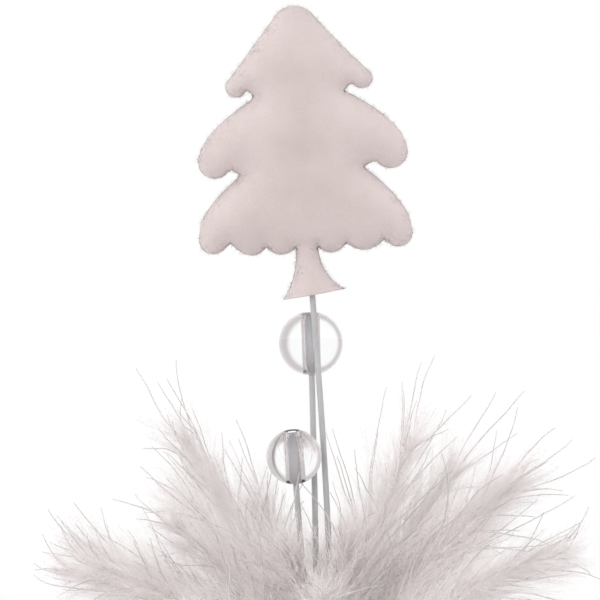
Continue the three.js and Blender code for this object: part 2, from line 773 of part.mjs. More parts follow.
function featherGeometry(plan) {
  const skin = new Skin();
  const azimuth = rad(plan.azimuth);
  const outward = new THREE.Vector3(Math.cos(azimuth), Math.sin(azimuth), 0);
  const around = new THREE.Vector3(-Math.sin(azimuth), Math.cos(azimuth), 0);
  const place = (out, up, aside) => skin.point(new THREE.Vector3(0, 0, BIND_TOP + up)
    .addScaledVector(outward, out)
    .addScaledVector(around, aside));

  // Four corners of the shaft at one station: far and near side of the vane, each left and right
  const station = (shaft, half) => {
    const across = [Math.cos(rad(shaft.tilt)) * half, -Math.sin(rad(shaft.tilt)) * half];
    return [[1, 1], [-1, 1], [-1, -1], [1, -1]].map(([far, left]) => place(
      shaft.out + far * across[0],
      shaft.up + far * across[1],
      left * half,
    ));
  };

  const barbZone = plan.length - BARE_LENGTH;
  const shaftHalf = (length) => THREE.MathUtils.lerp(
    QUILL_RADIUS,
    QUILL_TIP_RADIUS,
    Math.max(length, 0) / plan.length,
  );
  const stationAt = (length) => station(shaftAt(plan, length), shaftHalf(length));
  const quillEnd = { out: QUILL_RING_RADIUS, up: -BIND_DEPTH, tilt: 0 };

  // One barb grows from the four corners of a face of the shaft
  const barb = (base, from, side, index) => {
    const root = shaftAt(plan, from);
    const { first, last: final } = barbSwellShares;
    const swell = Math.sin(Math.PI * THREE.MathUtils.lerp(first, final, index / (SIDE_BARB_COUNT - 1)));
    const length = BARB_LENGTH * swell * (1 + swayBarbShare * plan.sway * side);
    const lift = barbLiftDegrees * (index % 2 ? 1 : -1);
    let { out, up } = root;
    let last = base;
    let travelled = 0;
    barbSectionShares.forEach(({ reach, width, thickness }) => {
      const spread = barbSpreadDegrees - barbCurlDegrees * reach;
      const heading = rad(root.tilt + side * spread);
      const stepLength = length * reach - travelled;
      out += stepLength * Math.sin(heading);
      up += stepLength * Math.cos(heading);
      travelled = length * reach;
      const tipward = [-side * Math.cos(heading), side * Math.sin(heading)];
      const half = BARB_HALF_WIDTH * width;
      const thick = BARB_HALF_THICKNESS * thickness;
      const aside = out * Math.tan(rad(lift * reach));
      const loop = [[-1, -side], [-1, side], [1, side], [1, -side]].map(([tip, left]) => place(
        out + tip * tipward[0] * half,
        up + tip * tipward[1] * half,
        aside + left * thick,
      ));
      skin.band(last, loop);
      last = loop;
    });
    const heading = rad(root.tilt + side * (barbSpreadDegrees - barbCurlDegrees));
    const rest = length - travelled;
    out += rest * Math.sin(heading);
    up += rest * Math.cos(heading);
    skin.fan(last, place(out, up, out * Math.tan(rad(lift))));
  };

  // From the quill's end through the bare shaft
  let last = station(quillEnd, QUILL_RADIUS);
  skin.quad(last[3], last[2], last[1], last[0]);
  bendStationShares.forEach((share) => {
    const next = stationAt(BEND_LENGTH * share);
    skin.band(last, next);
    last = next;
  });

  // Barbs on both sides, with a short bare step between two pairs
  const pitch = barbZone / (SIDE_BARB_COUNT + 1);
  for (let i = 0; i < SIDE_BARB_COUNT; i += 1) {
    const from = BARE_LENGTH + i * pitch;
    const to = from + pitch * barbRootShare;
    const start = stationAt(from);
    skin.band(last, start);
    const end = stationAt(to);
    skin.quad(start[0], start[1], end[1], end[0]);
    skin.quad(start[2], start[3], end[3], end[2]);
    barb([start[3], start[0], end[0], end[3]], (from + to) / 2, 1, i);
    barb([start[1], start[2], end[2], end[1]], (from + to) / 2, -1, i);
    last = end;
  }
  const tip = shaftAt(plan, plan.length);
  skin.fan(last, place(tip.out, tip.up, 0));
  return skin.geometry();
}

function feathers() {
  const group = new THREE.Group();
  for (let i = 0; i < FEATHER_COUNT; i += 1) {
    const name = `feather_${String(i + 1).padStart(2, '0')}`;
    group.add(piece(name, featherGeometry(featherPlan(i)), finishes.feather));
  }
  return group;
}

const pick = new THREE.Group();
pick.add(mainStem());
pick.add(wireTail('tree_stem_tail', TREE_SPRAY));
pick.add(wireTail('tall_bead_stem_tail', TALL_SPRAY));
pick.add(wireTail('short_bead_stem_tail', SHORT_SPRAY));
pick.add(bindingWire());
pick.add(floralTape());
pick.add(feathers());

const sprays = new THREE.Group();
sprays.position.z = BIND_TOP;
sprays.add(treeSpray());
sprays.add(beadSpray('tall_bead', TALL_SPRAY, TALL_BEAD));
sprays.add(beadSpray('short_bead', SHORT_SPRAY, SHORT_BEAD));
pick.add(sprays);
reportBindingGap();

export default pick;
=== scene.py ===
"""Looks of a florist's feather pick: a padded plush tree and two clear beads on wires that rise
out of a ruff of marabou feathers, bound to one stem. Metres, +Z up, front towards -Y."""
import math

import bmesh
import bpy
import numpy as np
from mathutils import Matrix, Quaternion, Vector, geometry


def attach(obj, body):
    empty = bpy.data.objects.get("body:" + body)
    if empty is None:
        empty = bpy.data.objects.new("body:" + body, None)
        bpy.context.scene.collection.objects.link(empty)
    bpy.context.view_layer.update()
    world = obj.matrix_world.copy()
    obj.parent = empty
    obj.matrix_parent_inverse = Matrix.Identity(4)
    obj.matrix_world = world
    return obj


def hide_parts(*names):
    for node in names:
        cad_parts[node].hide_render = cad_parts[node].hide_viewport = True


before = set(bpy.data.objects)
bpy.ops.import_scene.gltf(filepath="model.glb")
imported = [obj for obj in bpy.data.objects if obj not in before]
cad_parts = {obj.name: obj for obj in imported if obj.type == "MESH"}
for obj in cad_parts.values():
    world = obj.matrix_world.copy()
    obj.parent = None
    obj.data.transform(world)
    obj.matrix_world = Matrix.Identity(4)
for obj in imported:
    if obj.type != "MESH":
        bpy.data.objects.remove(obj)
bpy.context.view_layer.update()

MM = 0.001
UP = Vector((0, 0, 1))
TINY_LENGTH = 1e-9
TINY_SQUARE = 1e-15
MERGE_DISTANCE = 1e-6

# Picture: its width at the object, where its centre lies, and how far off the camera stands
PICTURE_WIDTH = 130.8 * MM
PICTURE_CENTRE = Vector((-4.58, -3, 190)) * MM
CAMERA_DISTANCE = 1300 * MM
SENSOR_WIDTH = 36

# Studio: what the surround gives as light, the floor's glow, and the lamps in watts
SURROUND_LEVEL = 0.27
FLOOR_GLOW = 0.25
FLOOR_TONE = (0.85, 0.85, 0.85, 1)
SIDE_TONE = (0.60, 0.55, 0.55, 1)
SURROUND_SKEW = 0.12
SURROUND_EDGES = (0.70, 0.82)
DIFFUSE_BOUNCES = 12
FLOOR_RADIUS = 1500 * MM
LAMP_SIZE = 1000 * MM
LAMP_AIM = Vector((0, 0, 180 * MM))
LAMPS = {
    "front_lamp": {"place": (-0.3, -1.6, 0.5), "power": 16},
    "back_lamp": {"place": (0.3, 1.6, 0.5), "power": 16},
    "left_lamp": {"place": (-1.6, 0.1, 0.5), "power": 11},
    "right_lamp": {"place": (1.6, 0.1, 0.5), "power": 11},
    "top_lamp": {"place": (0.0, -0.5, 1.7), "power": 13},
}
WHITE = (1, 1, 1, 1)
BLACK = (0, 0, 0, 1)

# Finishes: contrast and marks from the mottle's tone, the tape's creases, the painted shade at
# barb tips, and greyer bare wisps
TONE_EDGES = (0.35, 0.65)
MARK_TONE = 0.66
MARK_ROUGHNESS = 0.05
CREASE_RELIEF = 0.6
TIP_PAINTED_SHADE = 0.7
BARE_DULLNESS = 1.6

# Bind and stem
CLEARANCE = 0.3 * MM
BIND_TOP = 105 * MM
BIND_DEPTH = 12 * MM
MAIN_STEM_LENGTH = 104 * MM
MAIN_STEM_RADIUS = 1.1 * MM
FOOT_BEVEL = 0.3 * MM
FOOT_EDGE_DEGREES = 40
WIRE_RADIUS = 0.65 * MM
BUNDLE_RADIUS = MAIN_STEM_RADIUS + CLEARANCE + WIRE_RADIUS
STEM_SIDES = 32
FINE_SIDES = 96

# How far a wire's end edges are broken: a share of its radius, and of the way to the next point
EDGE_BREAK_SHARE = 0.2
END_STEP_SHARE = 0.05

# Sprays: each foot's angle in degrees, its wire's bow and end in mm above the bind, its bead
SPRAYS = {
    "tree": {"angle": 355, "bow": (3.1, -0.95, 25), "end": (-1.85, -3.9, 85.5)},
    "tall_bead": {
        "angle": 115, "bow": (-0.9, 2.9, 35), "end": (-2.35, 5.35, 80),
        "radius": 7 * MM, "height": 75.5 * MM,
    },
    "short_bead": {
        "angle": 235, "bow": (-3.4, -3.3, 16), "end": (-6.2, -10.3, 55.2),
        "radius": 6 * MM, "height": 51 * MM,
    },
}
ROUTE_HALVINGS = 40
BEAD_WIRE_STEPS = 12
TREE_WIRE_STEPS = 10

# Beads
BEAD_BORE_RADIUS = 1.5 * MM
BEAD_LIP = 0.25 * MM
GLUE_GAP = 0.25 * MM
GLUE_CAP = 1 * MM
GLUE_DOME_SHARE = 0.4
GLUE_DOME_STEPS = 8
BEAD_RINGS = 56
BEAD_LIP_DEGREES = (30, 60, 90)

# Plush tree
TREE_HEIGHT = 64 * MM
TREE_HALF_WIDTH = 24 * MM
COVER_THICKNESS = 0.8 * MM
SEAM_GAP = 0.3 * MM
CROWN = 3.7 * MM
CROWN_REACH = 8 * MM
OUTLINE_STEP = 0.8 * MM
ARC_STEP = 0.6 * OUTLINE_STEP
LEAST_ARC_STEPS = 4
CROWDED = 0.45 * OUTLINE_STEP
CORNER_CLEARANCE_SHARE = 0.93
COVER_SPACING = 1.3 * MM
ROUND_INSETS = (0.28 * MM, 0.75 * MM)
WIRE_IN_TREE = 40 * MM

# Padding: the simulation's scale and length, where the cover starts and how far it may swell
CLOTH_SCALE = 10
CLOTH_FRAMES = 20
SWELL_START_SHARE = 0.85
SWELL_LIMIT = 0.9 * MM
CLOTH_SETTINGS = {
    "quality": 6, "mass": 0.3, "tension_stiffness": 20, "compression_stiffness": 20,
    "bending_stiffness": 0.5, "use_pressure": True, "uniform_pressure_force": 4,
}

# Pile of the plush: its longest hair, the band where it stands thick, how it leans and varies
PILE_LENGTH = 1.3 * MM
PILE_BAND = 1.6 * MM
PILE_LEAN = {"outward": 0.7, "any way": 0.8, "upward": 0.35}
PILE_LENGTH_RANGE = (0.35, 1.0)
PILE_TUFT_EDGES = (0.45, 0.6)
LEAST_PILE = 0.1
PILE_SEEDS = {"front": 2, "back": 4, "lean": 10.0, "length": 20.0}

# Depth inside the edge at which the plush reaches its painted shade: lighter painted sheen along
# the edge, darker painted shade well inside
PAINTED_SHADE_DEPTH = 14 * MM

# How the tree stands on its wire, and where the round tips of its boughs begin and end
STEM_ENTRY_SHARE = -0.01
TREE_TURN_DEGREES = 0.6
TIP_ARC_DEGREES = (230, 20)

# Binding wire and floral tape
BINDING_RADIUS = 0.35 * MM
BINDING_PITCH = 1.2 * MM
BINDING_TURNS = 7
BINDING_STEPS = 40
BINDING_SIDES = 12
TAPE_LENGTH = 30 * MM
TAPE_THICKNESS = 0.7 * MM
TAPE_PITCH = 6 * MM
TAPE_RIDGE = 0.35 * MM
TAPE_TAPER = 9 * MM
TAPE_STEPS = 180
TAPE_LAP_STEEPNESS = 12

# Marabou feathers
FEATHER_COUNT = 24
QUILL_RING_RADIUS = 3.6 * MM
QUILL_RADIUS = 0.32 * MM
QUILL_TIP_RADIUS = 0.1 * MM
SHAFT_LENGTH = 60 * MM
SHAFT_BEND = 9 * MM
SHAFT_POINTS = 26
QUILL_SIDES = 8
TIP_DROOP_DEGREES = 10

# The ruff, feather by feather from +X anticlockwise seen from above
RUFF_TILT_DEGREES = (
    39, 62, 32, 54, 32, 62, 52, 66, 30, 44, 64, 60,
    24, 64, 62, 48, 70, 38, 66, 32, 70, 22, 60, 41,
)
RUFF_LENGTH_SHARES = (
    0.95, 1, 0.92, 0.95, 0.8, 0.85, 0.72, 0.85, 0.74, 0.93, 1, 1,
    1, 1, 1, 0.92, 0.9, 0.66, 0.9, 0.66, 0.9, 0.98, 1, 1,
)
RUFF_WISP_COUNTS = (
    22, 18, 18, 18, 18, 16, 14, 16, 20, 18, 18, 22,
    34, 20, 20, 18, 18, 16, 14, 16, 18, 26, 20, 22,
)

# Reach of the ruff: where its barbs begin to be drawn in, and the most they reach
RUFF_RADIUS = 50 * MM
RUFF_LIMIT = 65 * MM

# Swell of a plume's barbs along it, in half turns, and the waves that bend them
SWELL_FIRST = 0.25
SWELL_LAST = 0.82
WAVE_SCALE = 90.0

# Barbs and barbules: how unlike they are, how a barb thins, how a barbule leans along and out
SPREAD_RANGE = (0.75, 1.25)
BARBULE_RANGE = (0.5, 1.2)
BARB_THINNING = 0.7
BARBULE_LEAN = {"along": 0.75, "out": 0.66}
BARBULE_STOUTNESS = 0.05
BARB_SIDES = 3
BARB_SEEDS = {
    "fan": 100, "spread": 200, "length": 400, "tuft": 500, "wander": 550,
    "barbule way": 600, "barbule length": 700,
}

# Barbs on a plume, in two layers: the down, and the wisps that stand out; angles in radians
BARB_LAYERS = ("Down", "Wisp")
LAYER_SEED_STEP = 100
FEATHER_SEED_STEP = 10000
BARB_SIZES = {
    "start": (0.18, 0.35),
    "count": (620, 18),
    "steps": (7, 14),
    "length": (16.5 * MM, 27 * MM),
    "radius": (0.07 * MM, 0.26 * MM),
    "shortest": (0.8, 0.5),
    "spread": (0.6, 0.75),
    "closing": (0.4, 0.6),
    "fan": (1.35, 1.2),
    "curl": (0.25, 0.15),
    "droop": (0.05, 0.05),
    "tuft": (14.0, 1.0),
    "tuft lean": (0.35, 0.0),
    "wander": (0.07, 0.4),
    "wave": (5 * MM, 4 * MM),
    "bare": (0.0, 1.0),
    "barbules": (17, 12),
    "barbule length": (1.5 * MM, 0.9 * MM),
    "barbule fade": (0.5, 0.97),
}


class Nodes:
    """Short ways to write a node tree, for shapes and for materials."""

    def __init__(self, tree):
        self.tree = tree

    @staticmethod
    def socket(sockets, key):
        live = [s for s in sockets if s.enabled]
        if isinstance(key, int):
            return live[key]
        return next(s for s in live if s.name == key)

    def add(self, kind, values=None, out=0, **options):
        """Adds a node, sets its options, fills its inputs by name or place, gives an output."""
        node = self.tree.nodes.new(kind)
        for option, value in options.items():
            setattr(node, option, value)
        for key, value in (values or {}).items():
            target = self.socket(node.inputs, key)
            if isinstance(value, bpy.types.NodeSocket):
                self.tree.links.new(value, target)
            else:
                target.default_value = value
        if out is None:
            return node
        return self.socket(node.outputs, out)

    def math(self, operation, *values):
        return self.add("ShaderNodeMath", dict(enumerate(values)), operation=operation)

    def plus(self, first, second):
        return self.math("ADD", first, second)

    def less(self, first, second):
        return self.math("SUBTRACT", first, second)

    def over(self, first, second):
        return self.math("DIVIDE", first, second)

    def times(self, first, *others):
        for other in others:
            first = self.math("MULTIPLY", first, other)
        return first

    def mapped(self, value, low=0.0, high=1.0, first=0.0, last=1.0):
        """A value carried from one range to another, and held inside it."""
        return self.add("ShaderNodeMapRange", {
            "Value": value, "From Min": low, "From Max": high, "To Min": first, "To Max": last,
        })

    def vector(self, operation, *values):
        return self.add("ShaderNodeVectorMath", dict(enumerate(values)), operation=operation)

    def scaled(self, vector, factor):
        return self.add("ShaderNodeVectorMath", {0: vector, "Scale": factor}, operation="SCALE")

    def sum(self, total, *vectors):
        for vector in vectors:
            total = self.vector("ADD", total, vector)
        return total

    def swung(self, start, end, angle):
        """A direction swung by an angle from one vector towards another."""
        return self.sum(
            self.scaled(start, self.math("COSINE", angle)),
            self.scaled(end, self.math("SINE", angle)),
        )

    def random(self, low, high, seed, kind="FLOAT", owner=None):
        values = {"Min": low, "Max": high, "Seed": seed}
        if owner is not None:
            values["ID"] = owner
        return self.add("FunctionNodeRandomValue", values, data_type=kind)

    def any_way(self, seed, owner=None):
        return self.random((-1, -1, -1), (1, 1, 1), seed, "FLOAT_VECTOR", owner)

    def blend(self, factor, low, high):
        values = {"Factor": factor, "A": low, "B": high}
        return self.add("ShaderNodeMix", values, data_type="RGBA")

    def attribute(self, name):
        return self.add("ShaderNodeAttribute", out="Fac", attribute_name=name)

    def named(self, name, kind="FLOAT"):
        return self.add("GeometryNodeInputNamedAttribute", {"Name": name}, data_type=kind)


def node_group(kind, name, inputs, outputs):
    """A group's short ways and its inputs. A socket is given by its value, or by its type."""
    types = {int: "Int", float: "Float", tuple: "Vector"}
    group = bpy.data.node_groups.new(name, kind)
    for label, value in inputs.items():
        plain = not isinstance(value, str)
        socket = group.interface.new_socket(
            label, in_out="INPUT",
            socket_type="NodeSocket" + (types[type(value)] if plain else value),
        )
        if plain:
            socket.default_value = value
    for label, value in outputs.items():
        group.interface.new_socket(label, in_out="OUTPUT", socket_type="NodeSocket" + value)
    nodes = Nodes(group)
    return nodes, nodes.add("NodeGroupInput", out=None).outputs


def link(thing):
    bpy.context.scene.collection.objects.link(thing)
    return thing


def round_point(radius, angle, height=0.0):
    """A point at a distance and an angle from the stem's axis."""
    return Vector((radius * math.cos(angle), radius * math.sin(angle), height))


def turns(count):
    """Angles that share a full turn."""
    return [2 * math.pi * i / count for i in range(count)]


def lofted(rings, closed=False):
    """The faces between rings of points; a ring drawn in to one point gives triangles."""
    faces = []
    for near, far in zip(rings, rings[1:] + rings[:1] if closed else rings[1:]):
        for side in range(len(near)):
            after = (side + 1) % len(near)
            face = tuple(dict.fromkeys((near[side], near[after], far[after], far[side])))
            if len(face) > 2:
                faces.append(face)
    return faces


def mesh_object(name, points, faces, edges=()):
    mesh = bpy.data.meshes.new(name)
    mesh.from_pydata([tuple(p) for p in points], list(edges), list(faces))
    mesh.validate()
    return link(bpy.data.objects.new(name, mesh))


def settled(piece):
    """Gives a piece back with its doubles merged and every face turned outwards."""
    shape = bmesh.new()
    shape.from_mesh(piece.data)
    bmesh.ops.remove_doubles(shape, verts=shape.verts, dist=MERGE_DISTANCE)
    bmesh.ops.recalc_face_normals(shape, faces=shape.faces)
    shape.to_mesh(piece.data)
    shape.free()
    return piece


def dressed(piece, body, slot, nodes=()):
    """Finishes a piece: smooth, in its slot's finish, on its body, in place of its nodes."""
    if not piece.data.materials:
        piece.data.materials.append(finishes[slot])
    piece.data.shade_smooth()
    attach(piece, body)
    if nodes:
        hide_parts(*nodes)
    return piece


# Materials

def mottle_group():
    """A slow and a fine noise: Tone for colours, from 0 to 1, and Height for a bump."""
    nodes, given = node_group("ShaderNodeTree", "mottle", {
        "Vector": (0.0, 0.0, 0.0),
        "Patch size": 5 * MM,
        "Grain size": 0.4 * MM,
        "Grain share": 0.3,
    }, {"Tone": "Float", "Height": "Float"})

    def noise(size, detail):
        scale = nodes.over(1.0, size)
        return nodes.add(
            "ShaderNodeTexNoise",
            {"Vector": given["Vector"], "Scale": scale, "Detail": detail, "Roughness": 0.6},
        )

    slow = noise(given["Patch size"], 2.0)
    fine = noise(given["Grain size"], 3.0)
    share = given["Grain share"]
    tone = nodes.plus(nodes.times(slow, nodes.less(1.0, share)), nodes.times(fine, share))
    nodes.add("NodeGroupOutput", {"Tone": tone, "Height": fine}, out=None)
    return nodes.tree


MOTTLE = mottle_group()


class Finish(Nodes):
    """The node tree of one material."""

    def __init__(self, name):
        self.material = bpy.data.materials.new(name)
        self.material.use_nodes = True
        self.material.node_tree.nodes.clear()
        super().__init__(self.material.node_tree)
        self.place = self.add("ShaderNodeTexCoord", out="Object")

    def mottled(self, patch, grain, share, place=None):
        """The mottle of the surface: its tone and its height."""
        node = self.add("ShaderNodeGroup", {
            "Vector": self.place if place is None else place,
            "Patch size": patch,
            "Grain size": grain,
            "Grain share": share,
        }, out=None, node_tree=MOTTLE)
        return node.outputs["Tone"], node.outputs["Height"]

    def done(self, values, height=None, strength=0.0, distance=0.0):
        """The material with its Principled shader, and with a bump where it has a height."""
        if height is not None:
            bump = {"Height": height, "Strength": strength, "Distance": distance}
            values = {**values, "Normal": self.add("ShaderNodeBump", bump)}
        shader = self.add("ShaderNodeBsdfPrincipled", values)
        self.add("ShaderNodeOutputMaterial", {"Surface": shader}, out=None)
        return self.material


def plush_material():
    """Short plush with painted sheen and painted shade: lighter along its edge, a little darker
    well inside the tree.
    """
    nodes = Finish("plush")
    tone, height = nodes.mottled(patch=9 * MM, grain=0.35 * MM, share=0.45)
    contrast = nodes.mapped(tone, *TONE_EDGES)
    # Painted shade well inside the tree and painted sheen along its edge, blended by how far a
    # point lies from the edge
    inside = nodes.blend(contrast, (0.495, 0.425, 0.41, 1), (0.56, 0.485, 0.47, 1))
    outside = nodes.blend(contrast, (0.55, 0.472, 0.462, 1), (0.61, 0.53, 0.52, 1))
    return nodes.done({
        "Base Color": nodes.blend(nodes.attribute("painted_inner_shade"), outside, inside),
        "Roughness": 0.95,
        "Specular IOR Level": 0.2,
        "Sheen Weight": 0.85,
        "Sheen Roughness": 0.4,
        "Sheen Tint": (1.0, 0.97, 0.97, 1),
    }, height, strength=0.5, distance=0.25 * MM)


def pile_material():
    nodes = Finish("plush_pile")
    tone, _ = nodes.mottled(patch=3 * MM, grain=0.5 * MM, share=0.4)
    # Painted highlight: the pile is coloured lighter than the plush, so the rim where it stands
    # thick looks lighter than its shade
    colour = nodes.blend(tone, (0.62, 0.56, 0.55, 1), (0.75, 0.69, 0.68, 1))
    return nodes.done({"Base Color": colour, "Roughness": 0.8, "Sheen Weight": 0.3})


def feather_material():
    """White down with painted shade that darkens it towards its barb tips, and greyer where a
    wisp is bare.
    """
    nodes = Finish("marabou")
    tone, _ = nodes.mottled(patch=7 * MM, grain=0.8 * MM, share=0.35)
    body = nodes.blend(tone, (0.985, 0.945, 0.94, 1), (0.998, 0.965, 0.96, 1))
    # Painted shade: each barb is coloured darker towards its tip
    tip = nodes.times(nodes.attribute("along"), TIP_PAINTED_SHADE)
    tip_shaded = nodes.blend(tip, body, (0.88, 0.81, 0.81, 1))
    bare = nodes.times(nodes.attribute("bare"), BARE_DULLNESS)
    bare = nodes.math("MINIMUM", bare, 1.0)
    return nodes.done({
        "Base Color": nodes.blend(bare, tip_shaded, (0.61, 0.57, 0.565, 1)),
        "Roughness": 0.75,
        "Specular IOR Level": 0.25,
        "Sheen Weight": 0.25,
    })


def wire_material():
    nodes = Finish("coated_wire")
    tone, height = nodes.mottled(patch=6 * MM, grain=0.5 * MM, share=0.5)
    return nodes.done({
        "Base Color": nodes.blend(tone, (0.355, 0.355, 0.36, 1), (0.49, 0.49, 0.49, 1)),
        "Roughness": 0.35,
        "Coat Weight": 0.25,
        "Coat Roughness": 0.2,
    }, height, strength=0.2, distance=0.05 * MM)


def binding_material():
    nodes = Finish("binding_steel")
    tone, height = nodes.mottled(patch=2 * MM, grain=0.2 * MM, share=0.6)
    return nodes.done({
        "Base Color": nodes.blend(tone, (0.42, 0.42, 0.43, 1), (0.66, 0.66, 0.67, 1)),
        "Metallic": 1.0,
        "Roughness": nodes.plus(0.25, nodes.times(tone, 0.25)),
    }, height, strength=0.3, distance=0.03 * MM)


def tape_material():
    """Waxed paper tape with fine creases round it."""
    nodes = Finish("floral_tape")
    tone, height = nodes.mottled(patch=4 * MM, grain=0.4 * MM, share=0.5)
    creases = nodes.add("ShaderNodeTexWave", {
        "Vector": nodes.place,
        "Scale": 260.0,
        "Distortion": 6.0,
        "Detail": 3.0,
        "Detail Scale": 2.0,
    }, out="Fac", bands_direction="Z")
    relief = nodes.plus(nodes.times(creases, CREASE_RELIEF), height)
    return nodes.done({
        "Base Color": nodes.blend(tone, (0.68, 0.66, 0.62, 1), (0.82, 0.81, 0.78, 1)),
        "Roughness": 0.6,
        "Specular IOR Level": 0.35,
    }, relief, strength=0.5, distance=0.12 * MM)


def bore_material():
    """The wall of a drilled bore: clear, a little dull, streaked along the drill's way."""
    nodes = Finish("bead_bore")
    streaks = nodes.add("ShaderNodeMapping", {
        "Vector": nodes.place, "Scale": (1.0, 1.0, 0.06),
    })
    tone, height = nodes.mottled(patch=0.9 * MM, grain=0.3 * MM, share=0.5, place=streaks)
    contrast = nodes.mapped(tone, *TONE_EDGES)
    return nodes.done({
        "Base Color": nodes.blend(contrast, (0.88, 0.88, 0.93, 1), (1.0, 0.99, 1.0, 1)),
        "Roughness": 0.12,
        "IOR": 1.49,
        "Transmission Weight": 1.0,
    }, height, strength=0.3, distance=0.05 * MM)


def clear_material(name, roughness, ior, tint, clearness):
    """A clear or milky solid with faint marks in its finish."""
    nodes = Finish(name)
    tone, height = nodes.mottled(patch=4 * MM, grain=0.6 * MM, share=0.5)
    marks = nodes.times(nodes.math("GREATER_THAN", tone, MARK_TONE), MARK_ROUGHNESS)
    return nodes.done({
        "Base Color": tint,
        "Roughness": nodes.plus(marks, roughness),
        "IOR": ior,
        "Transmission Weight": clearness,
    }, height, strength=0.04, distance=0.05 * MM)


# Camera and studio

def make_camera():
    """The camera at the photograph's place: level, square to the tree."""
    lens = bpy.data.cameras.new("camera")
    lens.sensor_width = SENSOR_WIDTH
    lens.lens = SENSOR_WIDTH * CAMERA_DISTANCE / PICTURE_WIDTH
    lens.clip_start = 0.05
    lens.clip_end = 50
    camera = link(bpy.data.objects.new("camera", lens))
    camera.location = PICTURE_CENTRE - Vector((0, CAMERA_DISTANCE, 0))
    camera.rotation_euler = (math.pi / 2, 0, 0)
    bpy.context.scene.camera = camera


def surround_group():
    """What glass and metal find round the object: white ahead and behind, greyer to the sides."""
    nodes, given = node_group(
        "ShaderNodeTree", "surround", {"Heading": (0.0, 0.0, 0.0)}, {"Colour": "Color"},
    )
    heading = nodes.vector("NORMALIZE", given["Heading"])
    parts = nodes.add("ShaderNodeSeparateXYZ", {"Vector": heading}, out=None).outputs
    ahead = nodes.math("ABSOLUTE", parts["Y"])
    square = nodes.less(ahead, nodes.times(parts["X"], SURROUND_SKEW))
    shade = nodes.mapped(square, *SURROUND_EDGES, 1.0, 0.0)
    colour = nodes.blend(shade, WHITE, SIDE_TONE)
    nodes.add("NodeGroupOutput", {"Colour": colour}, out=None)
    return nodes.tree


def surround(nodes, heading):
    return nodes.add("ShaderNodeGroup", {"Heading": heading}, node_tree=SURROUND)


SURROUND = surround_group()


def asking_rays(nodes):
    """Light Path's answers: seen by the camera, and found by gloss or through glass."""
    path = nodes.add("ShaderNodeLightPath", out=None).outputs
    mirrored = nodes.math("MAXIMUM", path["Is Glossy Ray"], path["Is Transmission Ray"])
    return path["Is Camera Ray"], mirrored


def make_world():
    """A white surround, which lights the object more dimly than it looks."""
    world = bpy.data.worlds.new("studio")
    world.use_nodes = True
    world.node_tree.nodes.clear()
    nodes = Nodes(world.node_tree)
    seen, mirrored = asking_rays(nodes)
    strength = nodes.mapped(nodes.math("MAXIMUM", seen, mirrored), first=SURROUND_LEVEL)
    around = surround(nodes, nodes.add("ShaderNodeTexCoord", out="Generated"))
    colour = nodes.blend(mirrored, WHITE, around)
    light = nodes.add("ShaderNodeBackground", {"Color": colour, "Strength": strength})
    nodes.add("ShaderNodeOutputWorld", {"Surface": light}, out=None)
    bpy.context.scene.world = world


def make_floor():
    """A pale round floor that keeps the object's shadow."""
    rim = [round_point(FLOOR_RADIUS, angle) for angle in turns(FINE_SIDES)]
    floor = mesh_object("floor", rim, [range(FINE_SIDES)])
    nodes = Finish("floor")
    seen, mirrored = asking_rays(nodes)
    place = nodes.vector("SUBTRACT", nodes.place, tuple(PICTURE_CENTRE))
    floor.data.materials.append(nodes.done({
        "Base Color": nodes.blend(mirrored, FLOOR_TONE, BLACK),
        "Roughness": 0.9,
        "Emission Color": nodes.blend(mirrored, WHITE, surround(nodes, place)),
        "Emission Strength": nodes.math("MAXIMUM", nodes.times(seen, FLOOR_GLOW), mirrored),
    }))


def make_lamps():
    """Soft lamps all round, which glass and gloss don't see."""
    for name, plan in LAMPS.items():
        light = bpy.data.lights.new(name, "AREA")
        light.size = LAMP_SIZE
        light.energy = plan["power"]
        lamp = link(bpy.data.objects.new(name, light))
        lamp.location = plan["place"]
        lamp.visible_transmission = False
        lamp.visible_glossy = False
        aim = LAMP_AIM - Vector(plan["place"])
        lamp.rotation_mode = "QUATERNION"
        lamp.rotation_quaternion = aim.to_track_quat("-Z", "Y")


def make_studio():
    scene = bpy.context.scene
    scene.view_settings.view_transform = "Standard"
    scene.cycles.diffuse_bounces = DIFFUSE_BOUNCES
    make_world()
    make_floor()
    make_lamps()


# Wires

def spray_foot(name):
    return round_point(BUNDLE_RADIUS, math.radians(SPRAYS[name]["angle"]))


class SprayRoute:
    """A quadratic curve from the bind to the spray's end, in heights above the bind."""

    def __init__(self, name):
        self.foot = spray_foot(name)
        self.bow = Vector(SPRAYS[name]["bow"]) * MM
        self.end = Vector(SPRAYS[name]["end"]) * MM

    def point(self, share):
        left = 1 - share
        return left * left * self.foot + 2 * left * share * self.bow + share * share * self.end

    def tangent(self, share):
        run = (1 - share) * (self.bow - self.foot) + share * (self.end - self.bow)
        return run.normalized()

    def share_at(self, height):
        low, high = 0.0, 1.0
        for _ in range(ROUTE_HALVINGS):
            middle = (low + high) / 2
            if self.point(middle).z < height:
                low = middle
            else:
                high = middle
        return low


def smooth_route(points, steps):
    """Points along a Catmull-Rom curve through the given ones."""
    padded = [2 * points[0] - points[1], *points, 2 * points[-1] - points[-2]]
    route = []
    for i in range(1, len(padded) - 2):
        a, b, c, d = padded[i - 1:i + 3]
        for step in range(steps):
            t = step / steps
            route.append(0.5 * (
                2 * b + (c - a) * t + (2 * a - 5 * b + 4 * c - d) * t * t
                + (3 * b - a - 3 * c + d) * t ** 3
            ))
    return [*route, points[-1]]


